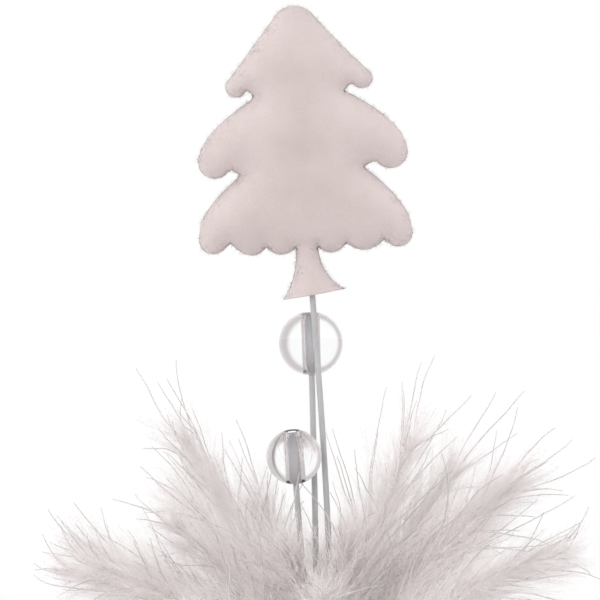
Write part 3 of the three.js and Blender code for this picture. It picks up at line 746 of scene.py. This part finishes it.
def tube(name, route, radius, sides):
    """A round wire along a route, closed by flat ends with their edges broken."""
    broken = radius - EDGE_BREAK_SHARE * radius
    sizes = [broken, *[radius] * (len(route) - 2), broken]
    turn = Quaternion()
    last = UP
    points = []
    for i, (centre, size) in enumerate(zip(route, sizes)):
        direction = (route[min(i + 1, len(route) - 1)] - route[max(i - 1, 0)]).normalized()
        turn = last.rotation_difference(direction) @ turn
        last = direction
        points += [centre + turn @ round_point(size, angle) for angle in turns(sides)]
    rings = [range(i * sides, (i + 1) * sides) for i in range(len(route))]
    return mesh_object(name, points, [*lofted(rings), rings[0][::-1], rings[-1]])


def ended(route):
    """A route with a point close inside each end, so that the tube's edges are broken there."""
    start = route[0].lerp(route[1], END_STEP_SHARE)
    stop = route[-1].lerp(route[-2], END_STEP_SHARE)
    return [route[0], start, *route[1:-1], stop, route[-1]]


def spray_wire(name, points, steps):
    """A spray's wire through points given in heights above the bind."""
    route = [p + BIND_TOP * UP for p in smooth_route(points, steps)]
    return tube(name + "_wire", ended(route), WIRE_RADIUS, STEM_SIDES)


def wire_tail(name):
    foot = spray_foot(name)
    bottom = foot + (BIND_TOP - BIND_DEPTH) * UP
    top = foot + (BIND_TOP - CLEARANCE) * UP
    inset = WIRE_RADIUS * EDGE_BREAK_SHARE * UP
    route = [bottom, bottom + inset, top - inset, top]
    return tube(name + "_stem_tail_wire", route, WIRE_RADIUS, STEM_SIDES)


def bead_wire(name):
    route = SprayRoute(name)
    radius = SPRAYS[name]["radius"]
    share = route.share_at(SPRAYS[name]["height"])
    centre, along = route.point(share), route.tangent(share)
    mouth = centre - radius * along
    tip = centre + (radius - GLUE_CAP - 2 * CLEARANCE) * along
    mouth_share = route.share_at(mouth.z)
    points = [route.point(part * mouth_share) for part in (0, 0.25, 0.5, 0.75)]
    points += [mouth, mouth.lerp(tip, 0.5), tip]
    return spray_wire(name, points, BEAD_WIRE_STEPS)


def tree_wire():
    route = SprayRoute("tree")
    points = [route.point(share) for share in (0, 0.2, 0.4, 0.6, 0.8, 1)]
    along = route.tangent(1)
    points += [route.end + share * WIRE_IN_TREE * along for share in (0.25, 0.5, 0.75, 1)]
    return spray_wire("tree", points, TREE_WIRE_STEPS)


def turned(name, profile, sides, place=None):
    """A turned piece from [radius, height] pairs; a profile off the axis closes on itself."""
    points, rings = [], []
    for radius, height in profile:
        start = len(points)
        if radius == 0:
            points.append(Vector((0, 0, height)))
            rings.append([start] * sides)
        else:
            points += [round_point(radius, angle, height) for angle in turns(sides)]
            rings.append(list(range(start, start + sides)))
    if place is not None:
        points = [place @ p for p in points]
    return mesh_object(name, points, lofted(rings, closed=profile[0][0] != 0))


def main_stem():
    profile = [
        (0, 0),
        (MAIN_STEM_RADIUS - FOOT_BEVEL, 0),
        (MAIN_STEM_RADIUS, FOOT_BEVEL),
        (MAIN_STEM_RADIUS, MAIN_STEM_LENGTH),
        (0, MAIN_STEM_LENGTH),
    ]
    stem = turned("stem_wire", profile, STEM_SIDES)
    stem.data.set_sharp_from_angle(angle=math.radians(FOOT_EDGE_DEGREES))
    return stem


# Beads

def bead_place(name):
    route = SprayRoute(name)
    share = route.share_at(SPRAYS[name]["height"])
    turn = UP.rotation_difference(route.tangent(share)).to_matrix().to_4x4()
    return Matrix.Translation(route.point(share) + BIND_TOP * UP) @ turn


def clear_bead(name):
    """A polished round bead whose bore has a small rounded lip at each mouth."""
    radius = SPRAYS[name]["radius"]
    opening = math.asin((BEAD_BORE_RADIUS + BEAD_LIP) / radius)
    mouth = radius * math.cos(opening)
    profile = []
    for i in range(BEAD_RINGS + 1):
        angle = opening + (math.pi - 2 * opening) * i / BEAD_RINGS
        profile.append((radius * math.sin(angle), -radius * math.cos(angle)))
    lip = []
    for angle in map(math.radians, BEAD_LIP_DEGREES):
        reach = BEAD_BORE_RADIUS + BEAD_LIP * (1 - math.sin(angle))
        lip.append((reach, mouth - BEAD_LIP * (1 - math.cos(angle))))
    profile += lip
    profile += [(reach, -height) for reach, height in reversed(lip)]
    return turned(name + "_ball", profile, FINE_SIDES, bead_place(name))


def bored(ball, name):
    """Gives the wall of a bead's bore its own finish."""
    ball.data.materials.append(finishes["bore"])
    inward = bead_place(name).inverted()
    for face in ball.data.polygons:
        middle = inward @ face.center
        if math.hypot(middle.x, middle.y) < BEAD_BORE_RADIUS + BEAD_LIP / 4:
            face.material_index = 1


def bead_glue(name):
    """Clear glue drawn down the bore over the end of the wire, with a domed top."""
    radius = SPRAYS[name]["radius"]
    outer = BEAD_BORE_RADIUS - GLUE_GAP
    inner = WIRE_RADIUS + GLUE_GAP
    bottom = -radius + CLEARANCE
    top = radius - CLEARANCE
    ceiling = top - GLUE_CAP
    dome = GLUE_DOME_SHARE * GLUE_CAP
    profile = [(0, ceiling), (inner, ceiling), (inner, bottom), (outer, bottom)]
    for i in range(GLUE_DOME_STEPS):
        angle = math.radians(90 * i / GLUE_DOME_STEPS)
        profile.append((outer * math.cos(angle), top - dome * (1 - math.sin(angle))))
    profile.append((0, top))
    return turned(name + "_drop", profile, STEM_SIDES, bead_place(name))


# Plush tree: its outline repeats the shares of the covers

CAP_SHARES = {"shoulder": (0.138, 0.977), "crest": (0, 1.012)}
BOUGH_SHARES = {
    1: (
        {"notch": (0.548, 0.43), "pull": (0.93, 0.3), "tip": (0.808, 0.203), "radius": 0.133,
         "under": (0.68, 0.19), "hem": (0.673, 0.181)},
        {"notch": (0.43, 0.692), "pull": (0.896, 0.586), "tip": (0.788, 0.48), "radius": 0.158,
         "under": (0.66, 0.462), "hem": (0.542, 0.433)},
        {"notch": (0.138, 0.977), "pull": (0.44, 0.836), "tip": (0.579, 0.734), "radius": 0.096,
         "under": (0.48, 0.73), "hem": (0.413, 0.695)},
    ),
    -1: (
        {"notch": (0.62, 0.42), "pull": (0.985, 0.322), "tip": (0.871, 0.219), "radius": 0.129,
         "under": (0.74, 0.215), "hem": (0.717, 0.203)},
        {"notch": (0.44, 0.685), "pull": (0.9, 0.586), "tip": (0.804, 0.484), "radius": 0.152,
         "under": (0.67, 0.466), "hem": (0.6, 0.435)},
        {"notch": (0.138, 0.977), "pull": (0.46, 0.834), "tip": (0.567, 0.733), "radius": 0.096,
         "under": (0.47, 0.73), "hem": (0.421, 0.7)},
    ),
}
SCALLOP_SHARES = {
    1: (((0.071, 0.172), (0.205, 0.149)), ((0.333, 0.178), (0.505, 0.15))),
    -1: (((0.129, 0.175), (0.26, 0.153)), ((0.396, 0.181), (0.545, 0.158))),
}
TRUNK_SHARES = {
    "left_foot": (-0.275, 0), "right_foot": (0.3, 0.023),
    "left_waist": (-0.125, 0.078), "right_waist": (0.09, 0.06),
}


def outline_point(share, side=1):
    return Vector((side * share[0] * TREE_HALF_WIDTH, share[1] * TREE_HEIGHT))


def curve_points(start, pull, end):
    """Points of a quadratic curve, close to a step apart, without its end."""
    length = (pull - start).length / 2 + (end - pull).length / 2 + (end - start).length / 2
    count = max(1, round(length / OUTLINE_STEP))
    shares = [i / count for i in range(count)]
    return [(1 - t) ** 2 * start + 2 * (1 - t) * t * pull + t * t * end for t in shares]


def line_points(start, end):
    return curve_points(start, (start + end) / 2, end)


def on_arc(centre, radius, angle):
    return centre + radius * Vector((math.cos(angle), math.sin(angle)))


def arc_points(centre, radius, low, high, side):
    """Points of a bough's round tip, from under it to its upper side, without the last."""
    sweep = (high - low) % (2 * math.pi) if side > 0 else -((low - high) % (2 * math.pi))
    count = max(LEAST_ARC_STEPS, round(abs(sweep) * radius / ARC_STEP))
    return [on_arc(centre, radius, low + sweep * i / count) for i in range(count)]


def side_points(side):
    """One side of the tree, from the neck of the trunk up to the shoulder, without the last."""
    boughs, scallops = BOUGH_SHARES[side], SCALLOP_SHARES[side]
    points = []
    for i, (begin, low) in enumerate(scallops):
        following = scallops[i + 1][0] if i + 1 < len(scallops) else boughs[0]["hem"]
        start, end = outline_point(begin, side), outline_point(following, side)
        pull = 2 * outline_point(low, side) - (start + end) / 2
        points += curve_points(start, pull, end)
    first, last = (math.radians(d if side > 0 else 180 - d) for d in TIP_ARC_DEGREES)
    for i, bough in enumerate(boughs):
        place = {key: outline_point(bough[key], side) for key in bough if key != "radius"}
        centre, hem, notch = place["tip"], place["hem"], place["notch"]
        radius = bough["radius"] * TREE_HALF_WIDTH
        start, stop = on_arc(centre, radius, first), on_arc(centre, radius, last)
        points += line_points(hem, start) if i == 0 else curve_points(hem, place["under"], start)
        points += arc_points(centre, radius, first, last, side)
        points += curve_points(stop, place["pull"], notch)
        if i + 1 < len(boughs):
            points += line_points(notch, outline_point(boughs[i + 1]["hem"], side))
    return points


def tree_sides():
    """Both sides of the tree as one anticlockwise ring, without the cut at the foot."""
    right_neck = outline_point(SCALLOP_SHARES[1][0][0])
    left_neck = outline_point(SCALLOP_SHARES[-1][0][0], -1)
    shoulder = outline_point(CAP_SHARES["shoulder"])
    far_shoulder = outline_point(CAP_SHARES["shoulder"], -1)
    right_foot = outline_point(TRUNK_SHARES["right_foot"])
    left_foot = outline_point(TRUNK_SHARES["left_foot"])
    left = [*side_points(-1), far_shoulder]
    left.reverse()
    return [
        *curve_points(right_foot, outline_point(TRUNK_SHARES["right_waist"]), right_neck),
        *side_points(1),
        *curve_points(shoulder, outline_point(CAP_SHARES["crest"]), far_shoulder),
        *left[:-1],
        *curve_points(left_neck, outline_point(TRUNK_SHARES["left_waist"]), left_foot),
        left_foot,
    ]


def inset_points(ring, distance):
    """The ring moved inwards, without the points that crowd together in its corners."""
    spots = np.array(ring)
    inset = []
    for i, point in enumerate(ring):
        along = (ring[(i + 1) % len(ring)] - ring[i - 1]).normalized()
        moved = point + distance * Vector((-along.y, along.x))
        clear = np.linalg.norm(spots - np.array(moved), axis=1).min()
        apart = not inset or (inset[-1] - moved).length > CROWDED
        if clear > CORNER_CLEARANCE_SHARE * distance and apart:
            inset.append(moved)
    return inset


def filled_outline(sides):
    """The outline filled with triangles: its points, the triangles and where its sides lie."""
    right_foot, left_foot = sides[0], sides[-1]
    ring = [*sides, *line_points(left_foot, right_foot)[1:]]
    corners = np.array(ring)
    inner = [p for distance in ROUND_INSETS for p in inset_points(ring, distance)]
    low, high = corners.min(0), corners.max(0)
    row_height = COVER_SPACING * math.sqrt(3) / 2
    margin = ROUND_INSETS[1] + COVER_SPACING / 2
    for row in range(int((high[1] - low[1]) / row_height) + 1):
        for column in range(int((high[0] - low[0]) / COVER_SPACING) + 2):
            x = low[0] + (column + (row % 2) / 2) * COVER_SPACING
            y = low[1] + (row + 0.5) * row_height
            if np.hypot(corners[:, 0] - x, corners[:, 1] - y).min() > margin:
                inner.append(Vector((x, y)))
    edges = [(i, (i + 1) % len(ring)) for i in range(len(ring))]
    found = geometry.delaunay_2d_cdt([*ring, *inner], edges, [], 1, TINY_LENGTH)
    points, _, triangles, sources = found[:4]
    order = {source[0]: i for i, source in enumerate(sources) if source}
    return points, triangles, order


def padding_rise(point, edge):
    """Rise of the padding: nothing at the sewn edge, the full crown well inside.

    The distance to the edge is a smooth one, to which every point of the edge adds its pull.
    """
    squared = np.maximum(((edge - point) ** 2).sum(1), TINY_SQUARE)
    pull = (OUTLINE_STEP / squared ** 2).sum()
    distance = (math.pi / (2 * pull)) ** (1 / 3)
    left = 1 - min(distance / CROWN_REACH, 1)
    return CROWN * (1 - left * left)


def tree_place():
    """Where the tree stands on its wire."""
    route = SprayRoute("tree")
    seat = UP.rotation_difference(route.tangent(1)).to_matrix().to_4x4()
    seat = Matrix.Translation(route.end + BIND_TOP * UP) @ seat
    shift = Matrix.Translation(Vector((-STEM_ENTRY_SHARE * TREE_HALF_WIDTH, 0, 0)))
    return seat @ shift @ Matrix.Rotation(math.radians(TREE_TURN_DEGREES), 4, "Y")


# Padding and pile of the tree

def filled_out(points, triangles, rim, side):
    """A cover as its padding swells it: cloth under light pressure, held along the sewn edge."""
    scene = bpy.context.scene
    faces = []
    for a, b, c in triangles:
        across = (points[b] - points[a]).cross(points[c] - points[a])
        faces.append((a, b, c) if across.y * side > 0 else (a, c, b))
    form = mesh_object("cover_form", [CLOTH_SCALE * p for p in points], faces)
    form.vertex_groups.new(name="seam").add(sorted(rim), 1, "REPLACE")
    cloth = form.modifiers.new("cloth", "CLOTH")
    for setting, value in CLOTH_SETTINGS.items():
        setattr(cloth.settings, setting, value)
    cloth.settings.vertex_group_mass = "seam"
    cloth.settings.effector_weights.gravity = 0
    cloth.collision_settings.use_collision = False
    cloth.point_cache.frame_start = 1
    cloth.point_cache.frame_end = CLOTH_FRAMES
    for step in range(1, CLOTH_FRAMES + 1):
        scene.frame_set(step)
    swollen = form.evaluated_get(bpy.context.evaluated_depsgraph_get())
    moves = [v.co / CLOTH_SCALE - p for v, p in zip(swollen.data.vertices, points)]
    bpy.data.objects.remove(form)
    scene.frame_set(1)
    caps = [min(1, SWELL_LIMIT / max(move.length, TINY_LENGTH)) for move in moves]
    return [p + move * cap for p, move, cap in zip(points, moves, caps)]


def cover_faces(triangles, count):
    """The faces of a cover: its outer skin, its inner skin and the border that joins them."""
    faces = []
    border = {}
    for a, b, c in triangles:
        faces.append((a, b, c))
        faces.append((a + count, c + count, b + count))
        for start, end in ((a, b), (b, c), (c, a)):
            if (end, start) in border:
                del border[end, start]
            else:
                border[start, end] = True
    faces += [(start, start + count, end + count, end) for start, end in border]
    return faces


def marked(piece, name, values):
    """Gives each point of a piece a value to be read by name."""
    marks = piece.data.attributes.new(name, "FLOAT", "POINT")
    for mark, value in zip(marks.data, values):
        mark.value = value


def make_tree():
    """The two padded covers of the tree, sewn along their outline, and the pile on them."""
    sides = tree_sides()
    points, triangles, order = filled_outline(sides)
    edge = np.array(sides)
    rim = {order[i] for i in range(len(sides)) if i in order}
    place = tree_place()
    distances = [np.linalg.norm(edge - np.array(p), axis=1).min() for p in points]
    rises = [0 if i in rim else padding_rise(np.array(p), edge) for i, p in enumerate(points)]
    # How far each point lies inside the edge, as a share: the mask of the plush's painted shade
    # and painted sheen
    painted_shade_shares = [min(distance / PAINTED_SHADE_DEPTH, 1) for distance in distances]
    start_share = SWELL_START_SHARE
    pile = pile_tree()
    for name, side in (("front", -1), ("back", 1)):
        outer, inner = [], []
        for point, rise, distance in zip(points, rises, distances):
            turn = 1 - min(distance / COVER_THICKNESS, 1)
            skin = COVER_THICKNESS * math.sqrt(1 - turn * turn)
            base = SEAM_GAP / 2 + rise * start_share
            outer.append(Vector((point.x, side * (base + skin), point.y)))
            inner.append(Vector((point.x, side * base, point.y)))
        outer = filled_out(outer, triangles, rim, side)
        outer = [place @ p for p in outer]
        inner = [place @ p for p in inner]
        faces = cover_faces(triangles, len(points))
        cover = mesh_object(f"tree_{name}_plush", outer + inner, faces)
        # The mask of the painted shade and painted sheen, on both skins of the cover
        marked(cover, "painted_inner_shade", painted_shade_shares * 2)
        stands_for = [f"tree_{name}_cover", f"tree_{name}_foam"]
        dressed(settled(cover), "tree_spray", "plush", stands_for)

        # The pile grows on the outer face, thick along the edge and thin inside
        skin = settled(mesh_object(f"tree_{name}_skin", outer, triangles))
        marked(skin, "near_edge", [1 - min(distance / PILE_BAND, 1) for distance in distances])
        fuzz = grown(f"tree_{name}_pile", skin, pile, {
            "Seed": PILE_SEEDS[name], "Material": finishes["pile"],
        })
        dressed(fuzz, "tree_spray", "plush")


def spikes(nodes, points, way, length, stoutness):
    """Three-sided spikes that stand on points."""
    turn = nodes.add("FunctionNodeAlignRotationToVector", {"Vector": way}, axis="Z")
    spike = nodes.add("GeometryNodeMeshCone", {
        "Vertices": 3, "Radius Top": 0.0, "Radius Bottom": stoutness, "Depth": 1.0,
    })
    return nodes.add("GeometryNodeInstanceOnPoints", {
        "Points": points, "Instance": spike, "Rotation": turn, "Scale": length,
    })


def pile_tree():
    """The plush's pile: short soft hairs that stand off the cloth and lean a little upwards."""
    nodes, given = geometry_tree("plush_pile", {
        "Hair length": PILE_LENGTH,
        "Hair stoutness": 0.045,
        "Hairs per square metre": 11e6,
        "Tuft scale": 650.0,
    })
    tufts = nodes.add("ShaderNodeTexNoise", {"Scale": given["Tuft scale"], "Detail": 1.0})
    tufts = nodes.plus(nodes.mapped(tufts, *PILE_TUFT_EDGES), LEAST_PILE)
    crowd = nodes.times(nodes.named("near_edge"), tufts)
    spots = nodes.add("GeometryNodeDistributePointsOnFaces", {
        "Mesh": given["Geometry"],
        "Density": nodes.times(crowd, given["Hairs per square metre"]),
        "Seed": given["Seed"],
    }, out=None).outputs
    any_way = nodes.any_way(nodes.plus(given["Seed"], PILE_SEEDS["lean"]))
    way = nodes.sum(
        nodes.scaled(spots["Normal"], PILE_LEAN["outward"]),
        nodes.scaled(any_way, PILE_LEAN["any way"]),
        (0.0, 0.0, PILE_LEAN["upward"]),
    )
    seed = nodes.plus(given["Seed"], PILE_SEEDS["length"])
    uneven = nodes.random(*PILE_LENGTH_RANGE, seed)
    length = nodes.times(uneven, given["Hair length"])
    hairs = spikes(nodes, spots["Points"], way, length, given["Hair stoutness"])
    return finished_tree(nodes, [hairs], given["Material"])


# Feathers

def feather_plan(index):
    return {
        "azimuth": 2 * math.pi * index / FEATHER_COUNT,
        "tilt": RUFF_TILT_DEGREES[index],
        "length": SHAFT_LENGTH * RUFF_LENGTH_SHARES[index],
        "wisps": RUFF_WISP_COUNTS[index],
    }


def shaft_points(plan):
    """The shaft's centreline from the end of its quill in the bind to its tip."""
    outward = round_point(1, plan["azimuth"])
    points = [QUILL_RING_RADIUS * outward + (BIND_TOP - BIND_DEPTH) * UP]
    step = plan["length"] / SHAFT_POINTS
    out, height = QUILL_RING_RADIUS, BIND_TOP
    points.append(out * outward + height * UP)
    for i in range(SHAFT_POINTS):
        at = (i + 0.5) * step
        bend = min(at / SHAFT_BEND, 1)
        tilt = plan["tilt"] * bend * bend * (3 - 2 * bend)
        tilt = math.radians(tilt + TIP_DROOP_DEGREES * (at / plan["length"]) ** 2)
        out += step * math.sin(tilt)
        height += step * math.cos(tilt)
        points.append(out * outward + height * UP)
    return points


def geometry_tree(name, sizes):
    inputs = {"Geometry": "Geometry", **sizes, "Seed": 1, "Material": "Material"}
    return node_group("GeometryNodeTree", name, inputs, {"Geometry": "Geometry"})


def finished_tree(nodes, shapes, material):
    joined = nodes.add("GeometryNodeJoinGeometry", out=None)
    for shape in shapes:
        nodes.tree.links.new(shape, joined.inputs[0])
    real = nodes.add("GeometryNodeRealizeInstances", {"Geometry": joined.outputs[0]})
    smooth = nodes.add("GeometryNodeSetShadeSmooth", {"Geometry": real})
    done = nodes.add("GeometryNodeSetMaterial", {"Geometry": smooth, "Material": material})
    nodes.add("NodeGroupOutput", {"Geometry": done}, out=None)
    return nodes.tree


def grown(name, base, tree, values):
    """The plain mesh that a geometry tree grows on a base object, which is used up."""
    modifier = base.modifiers.new(tree.name, "NODES")
    modifier.node_group = tree
    for item in tree.interface.items_tree:
        if item.item_type == "SOCKET" and item.in_out == "INPUT" and item.name in values:
            modifier[item.identifier] = values[item.name]
    graph = bpy.context.evaluated_depsgraph_get()
    mesh = bpy.data.meshes.new_from_object(base.evaluated_get(graph))
    bpy.data.objects.remove(base)
    mesh.name = name
    return link(bpy.data.objects.new(name, mesh))


def barb_layer(nodes, given, curve, label, first_seed):
    """One layer of barbs along a shaft's curve, with the barbules on them."""
    def size(name):
        return given[f"{label} {name}"]

    def seeded(name):
        return nodes.plus(given["Seed"], float(first_seed + BARB_SEEDS[name]))

    def stored(shape, name, value, kind="FLOAT"):
        return nodes.add(
            "GeometryNodeStoreNamedAttribute",
            {"Geometry": shape, "Name": name, "Value": value}, data_type=kind, domain="POINT",
        )

    def spots_along(line, count):
        values = {"Curve": line, "Count": count}
        return nodes.add("GeometryNodeCurveToPoints", values, out=None).outputs

    # Where the barbs grow, and which way each one starts
    zone = nodes.add("GeometryNodeTrimCurve", {"Curve": curve, "Start": size("start")})
    roots = spots_along(zone, size("count"))
    tangent = roots["Tangent"]
    index = nodes.add("GeometryNodeInputIndex")
    share = nodes.over(index, size("count"))
    flip = nodes.less(nodes.times(nodes.math("MODULO", index, 2.0), 2.0), 1.0)
    side = nodes.scaled(nodes.vector("CROSS_PRODUCT", tangent, given["Across"]), flip)
    fan = nodes.times(nodes.random(-1.0, 1.0, seeded("fan")), size("fan"))
    sideways = nodes.swung(side, given["Across"], fan)
    closing = nodes.less(1.0, nodes.times(share, size("closing")))
    spread = nodes.random(*SPREAD_RANGE, seeded("spread"))
    spread = nodes.times(size("spread"), spread, closing)
    direction = nodes.swung(tangent, sideways, spread)
    span = nodes.less(given["Swell last"], given["Swell first"])
    phase = nodes.plus(given["Swell first"], nodes.times(share, span))
    swell = nodes.math("SINE", nodes.times(phase, math.pi))
    uneven = nodes.random(size("shortest"), 1.0, seeded("length"))
    length = nodes.times(size("length"), swell, uneven)

    # Barbs that grow side by side lean the same way, so that they gather into tufts
    tuft = nodes.plus(nodes.math("FLOOR", nodes.over(index, size("tuft"))), flip)
    shared = nodes.scaled(nodes.any_way(seeded("tuft"), tuft), size("tuft lean"))
    alone = nodes.scaled(nodes.any_way(seeded("wander")), size("wander"))
    points = stored(roots["Points"], "barb_length", length)
    points = stored(points, "barb_axis", tangent, "FLOAT_VECTOR")
    points = stored(points, "barb_wander", nodes.sum(shared, alone), "FLOAT_VECTOR")
    line = nodes.add("GeometryNodeCurvePrimitiveLine", {"End": (0, 0, 1)})
    line = nodes.add("GeometryNodeResampleCurve", {"Curve": line, "Count": size("steps")})
    heading = nodes.add("FunctionNodeAlignRotationToVector", {"Vector": direction}, axis="Z")
    barbs = nodes.add("GeometryNodeInstanceOnPoints", {
        "Points": points, "Instance": line, "Rotation": heading, "Scale": length,
    })
    barbs = nodes.add("GeometryNodeRealizeInstances", {"Geometry": barbs})

    # Each barb curls towards the tip, droops, wanders and waves, more so further out
    factor = nodes.add("GeometryNodeSplineParameter", out="Factor")
    reach = nodes.times(factor, factor, nodes.named("barb_length"))
    pull = nodes.sum(
        nodes.scaled(nodes.named("barb_axis", "FLOAT_VECTOR"), size("curl")),
        nodes.named("barb_wander", "FLOAT_VECTOR"),
        nodes.scaled((0.0, 0.0, -1.0), size("droop")),
    )
    noise = nodes.add(
        "ShaderNodeTexNoise", {"Scale": given["Wave scale"], "Detail": 2.0}, out="Color",
    )
    wave = nodes.vector("SUBTRACT", noise, (0.5, 0.5, 0.5))
    wave = nodes.scaled(wave, nodes.times(size("wave"), factor))
    offset = nodes.sum(nodes.scaled(pull, reach), wave)
    barbs = nodes.add("GeometryNodeSetPosition", {"Geometry": barbs, "Offset": offset})

    # Barbs that reach far out are drawn in, so that the ruff keeps its round outline
    flat = nodes.vector("MULTIPLY", nodes.add("GeometryNodeInputPosition"), (1.0, 1.0, 0.0))
    out = nodes.add("ShaderNodeVectorMath", {0: flat}, out="Value", operation="LENGTH")
    room = nodes.less(given["Ruff limit"], given["Ruff radius"])
    beyond = nodes.math("MAXIMUM", nodes.less(out, given["Ruff radius"]), 0.0)
    drawn = nodes.times(room, nodes.math("TANH", nodes.over(beyond, room)))
    back = nodes.scaled(flat, nodes.over(nodes.less(drawn, beyond), out))
    barbs = nodes.add("GeometryNodeSetPosition", {"Geometry": barbs, "Offset": back})

    barbs = stored(barbs, "along", factor)
    barbs = stored(barbs, "bare", nodes.times(factor, size("bare")))
    taper = nodes.less(1.0, nodes.times(factor, BARB_THINNING))
    hairs = rounded(nodes, barbs, BARB_SIDES, nodes.times(size("radius"), taper))

    # Barbules: short soft spikes all round each barb
    spots = spots_along(barbs, size("barbules"))
    run = spots["Tangent"]
    any_way = nodes.any_way(seeded("barbule way"))
    away = nodes.vector("NORMALIZE", nodes.vector("CROSS_PRODUCT", run, any_way))
    lean = nodes.sum(
        nodes.scaled(run, BARBULE_LEAN["along"]), nodes.scaled(away, BARBULE_LEAN["out"]),
    )
    shorter = nodes.less(1.0, nodes.times(nodes.named("along"), size("barbule fade")))
    fluff = nodes.random(*BARBULE_RANGE, seeded("barbule length"))
    fluff = nodes.times(fluff, shorter, size("barbule length"))
    barbules = spikes(nodes, spots["Points"], lean, fluff, given["Barbule stoutness"])
    return [hairs, barbules]


def rounded(nodes, line, sides, radius):
    """A round tube along a curve, closed at both ends."""
    profile = nodes.add("GeometryNodeCurvePrimitiveCircle", {"Resolution": sides, "Radius": 1.0})
    return nodes.add("GeometryNodeCurveToMesh", {
        "Curve": line, "Profile Curve": profile, "Scale": radius, "Fill Caps": True,
    })


def plume_tree():
    """A marabou plume along its shaft: a soft body of down, and loose wisps that stand out."""
    sizes = {
        "Across": (0.0, 1.0, 0.0),
        "Quill radius": QUILL_RADIUS,
        "Tip radius": QUILL_TIP_RADIUS,
        "Swell first": SWELL_FIRST,
        "Swell last": SWELL_LAST,
        "Wave scale": WAVE_SCALE,
        "Ruff radius": RUFF_RADIUS,
        "Ruff limit": RUFF_LIMIT,
        "Barbule stoutness": BARBULE_STOUTNESS,
    }
    for place, label in enumerate(BARB_LAYERS):
        sizes.update({f"{label} {name}": pair[place] for name, pair in BARB_SIZES.items()})
    nodes, given = geometry_tree("marabou_plume", sizes)
    curve = nodes.add("GeometryNodeMeshToCurve", {"Mesh": given["Geometry"]})
    here = nodes.add("GeometryNodeSplineParameter", out="Factor")
    thin = nodes.mapped(here, first=given["Quill radius"], last=given["Tip radius"])
    shapes = [rounded(nodes, curve, QUILL_SIDES, thin)]
    for place, label in enumerate(BARB_LAYERS):
        shapes += barb_layer(nodes, given, curve, label, LAYER_SEED_STEP * place)
    return finished_tree(nodes, shapes, given["Material"])


def make_feathers():
    tree = plume_tree()
    for index in range(FEATHER_COUNT):
        plan = feather_plan(index)
        points = shaft_points(plan)
        edges = [(i, i + 1) for i in range(len(points) - 1)]
        number = f"{index + 1:02d}"
        base = mesh_object("shaft_" + number, points, [], edges)
        across = Vector((-math.sin(plan["azimuth"]), math.cos(plan["azimuth"]), 0))
        plume = grown(f"plume_{number}", base, tree, {
            "Across": across,
            "Seed": FEATHER_SEED_STEP * (index + 1),
            "Wisp count": plan["wisps"],
            "Material": finishes["feather"],
        })
        dressed(plume, "bouquet", "feather", [f"feather_{number}"])


# Bind

def binding_wire():
    """One close winding of wire round the quills."""
    radius = QUILL_RING_RADIUS + QUILL_RADIUS + CLEARANCE + BINDING_RADIUS
    top = BIND_TOP - CLEARANCE - BINDING_RADIUS
    route = []
    for i in range(BINDING_TURNS * BINDING_STEPS + 1):
        height = top - (BINDING_TURNS - i / BINDING_STEPS) * BINDING_PITCH
        route.append(round_point(radius, 2 * math.pi * i / BINDING_STEPS, height))
    return tube("binding_wire_turns", ended(route), BINDING_RADIUS, BINDING_SIDES)


def floral_tape():
    """A wound sleeve of tape, wide over the quills and close on the stem, its laps climbing."""
    top = BIND_TOP - 2 * CLEARANCE - 2 * BINDING_RADIUS - BINDING_TURNS * BINDING_PITCH
    ledge = BIND_TOP - BIND_DEPTH - CLEARANCE
    wide = QUILL_RING_RADIUS + QUILL_RADIUS + CLEARANCE
    close = MAIN_STEM_RADIUS + CLEARANCE
    hollow = [(close, top - TAPE_LENGTH), (close, ledge), (wide, ledge), (wide, top)]
    heights = [top - TAPE_LENGTH * step / TAPE_STEPS for step in range(TAPE_STEPS + 1)]
    points = []
    for side, turn in enumerate(turns(FINE_SIDES)):
        column = list(hollow)
        for height in heights:
            fall = min(max((ledge - height) / TAPE_TAPER, 0), 1)
            fall = fall * fall * (3 - 2 * fall)
            phase = (height / TAPE_PITCH + side / FINE_SIDES) % 1
            ridge = TAPE_RIDGE * min(phase, (1 - phase) * TAPE_LAP_STEEPNESS)
            column.append((wide + (close - wide) * fall + TAPE_THICKNESS + ridge, height))
        outward = round_point(1, turn)
        points += [radius * outward + height * UP for radius, height in column]
    rows = len(hollow) + len(heights)
    rings = [range(i * rows, (i + 1) * rows) for i in range(FINE_SIDES)]
    return settled(mesh_object("floral_tape_wrap", points, lofted(rings, closed=True)))


# The pieces, each on its body

make_camera()
make_studio()
finishes = {
    "plush": plush_material(),
    "pile": pile_material(),
    "feather": feather_material(),
    "coated_wire": wire_material(),
    "binding_steel": binding_material(),
    "floral_tape": tape_material(),
    "clear_bead": clear_material(
        "clear_bead", roughness=0.0, ior=1.49, tint=(0.98, 0.985, 0.99, 1), clearness=1.0,
    ),
    "bore": bore_material(),
    "clear_glue": clear_material(
        "clear_glue", roughness=0.15, ior=1.47, tint=(0.97, 0.97, 0.98, 1), clearness=0.1,
    ),
}

dressed(main_stem(), "bouquet", "coated_wire", ["main_stem"])
for name in SPRAYS:
    dressed(wire_tail(name), "bouquet", "coated_wire", [name + "_stem_tail"])
dressed(binding_wire(), "bouquet", "binding_steel", ["binding_wire"])
dressed(floral_tape(), "bouquet", "floral_tape", ["floral_tape"])
dressed(tree_wire(), "tree_spray", "coated_wire", ["tree_stem"])
for name in ("tall_bead", "short_bead"):
    body = name + "_spray"
    dressed(bead_wire(name), body, "coated_wire", [name + "_stem"])
    ball = dressed(settled(clear_bead(name)), body, "clear_bead", [name])
    bored(ball, name)
    dressed(settled(bead_glue(name)), body, "clear_glue", [name + "_glue"])
make_tree()
make_feathers()
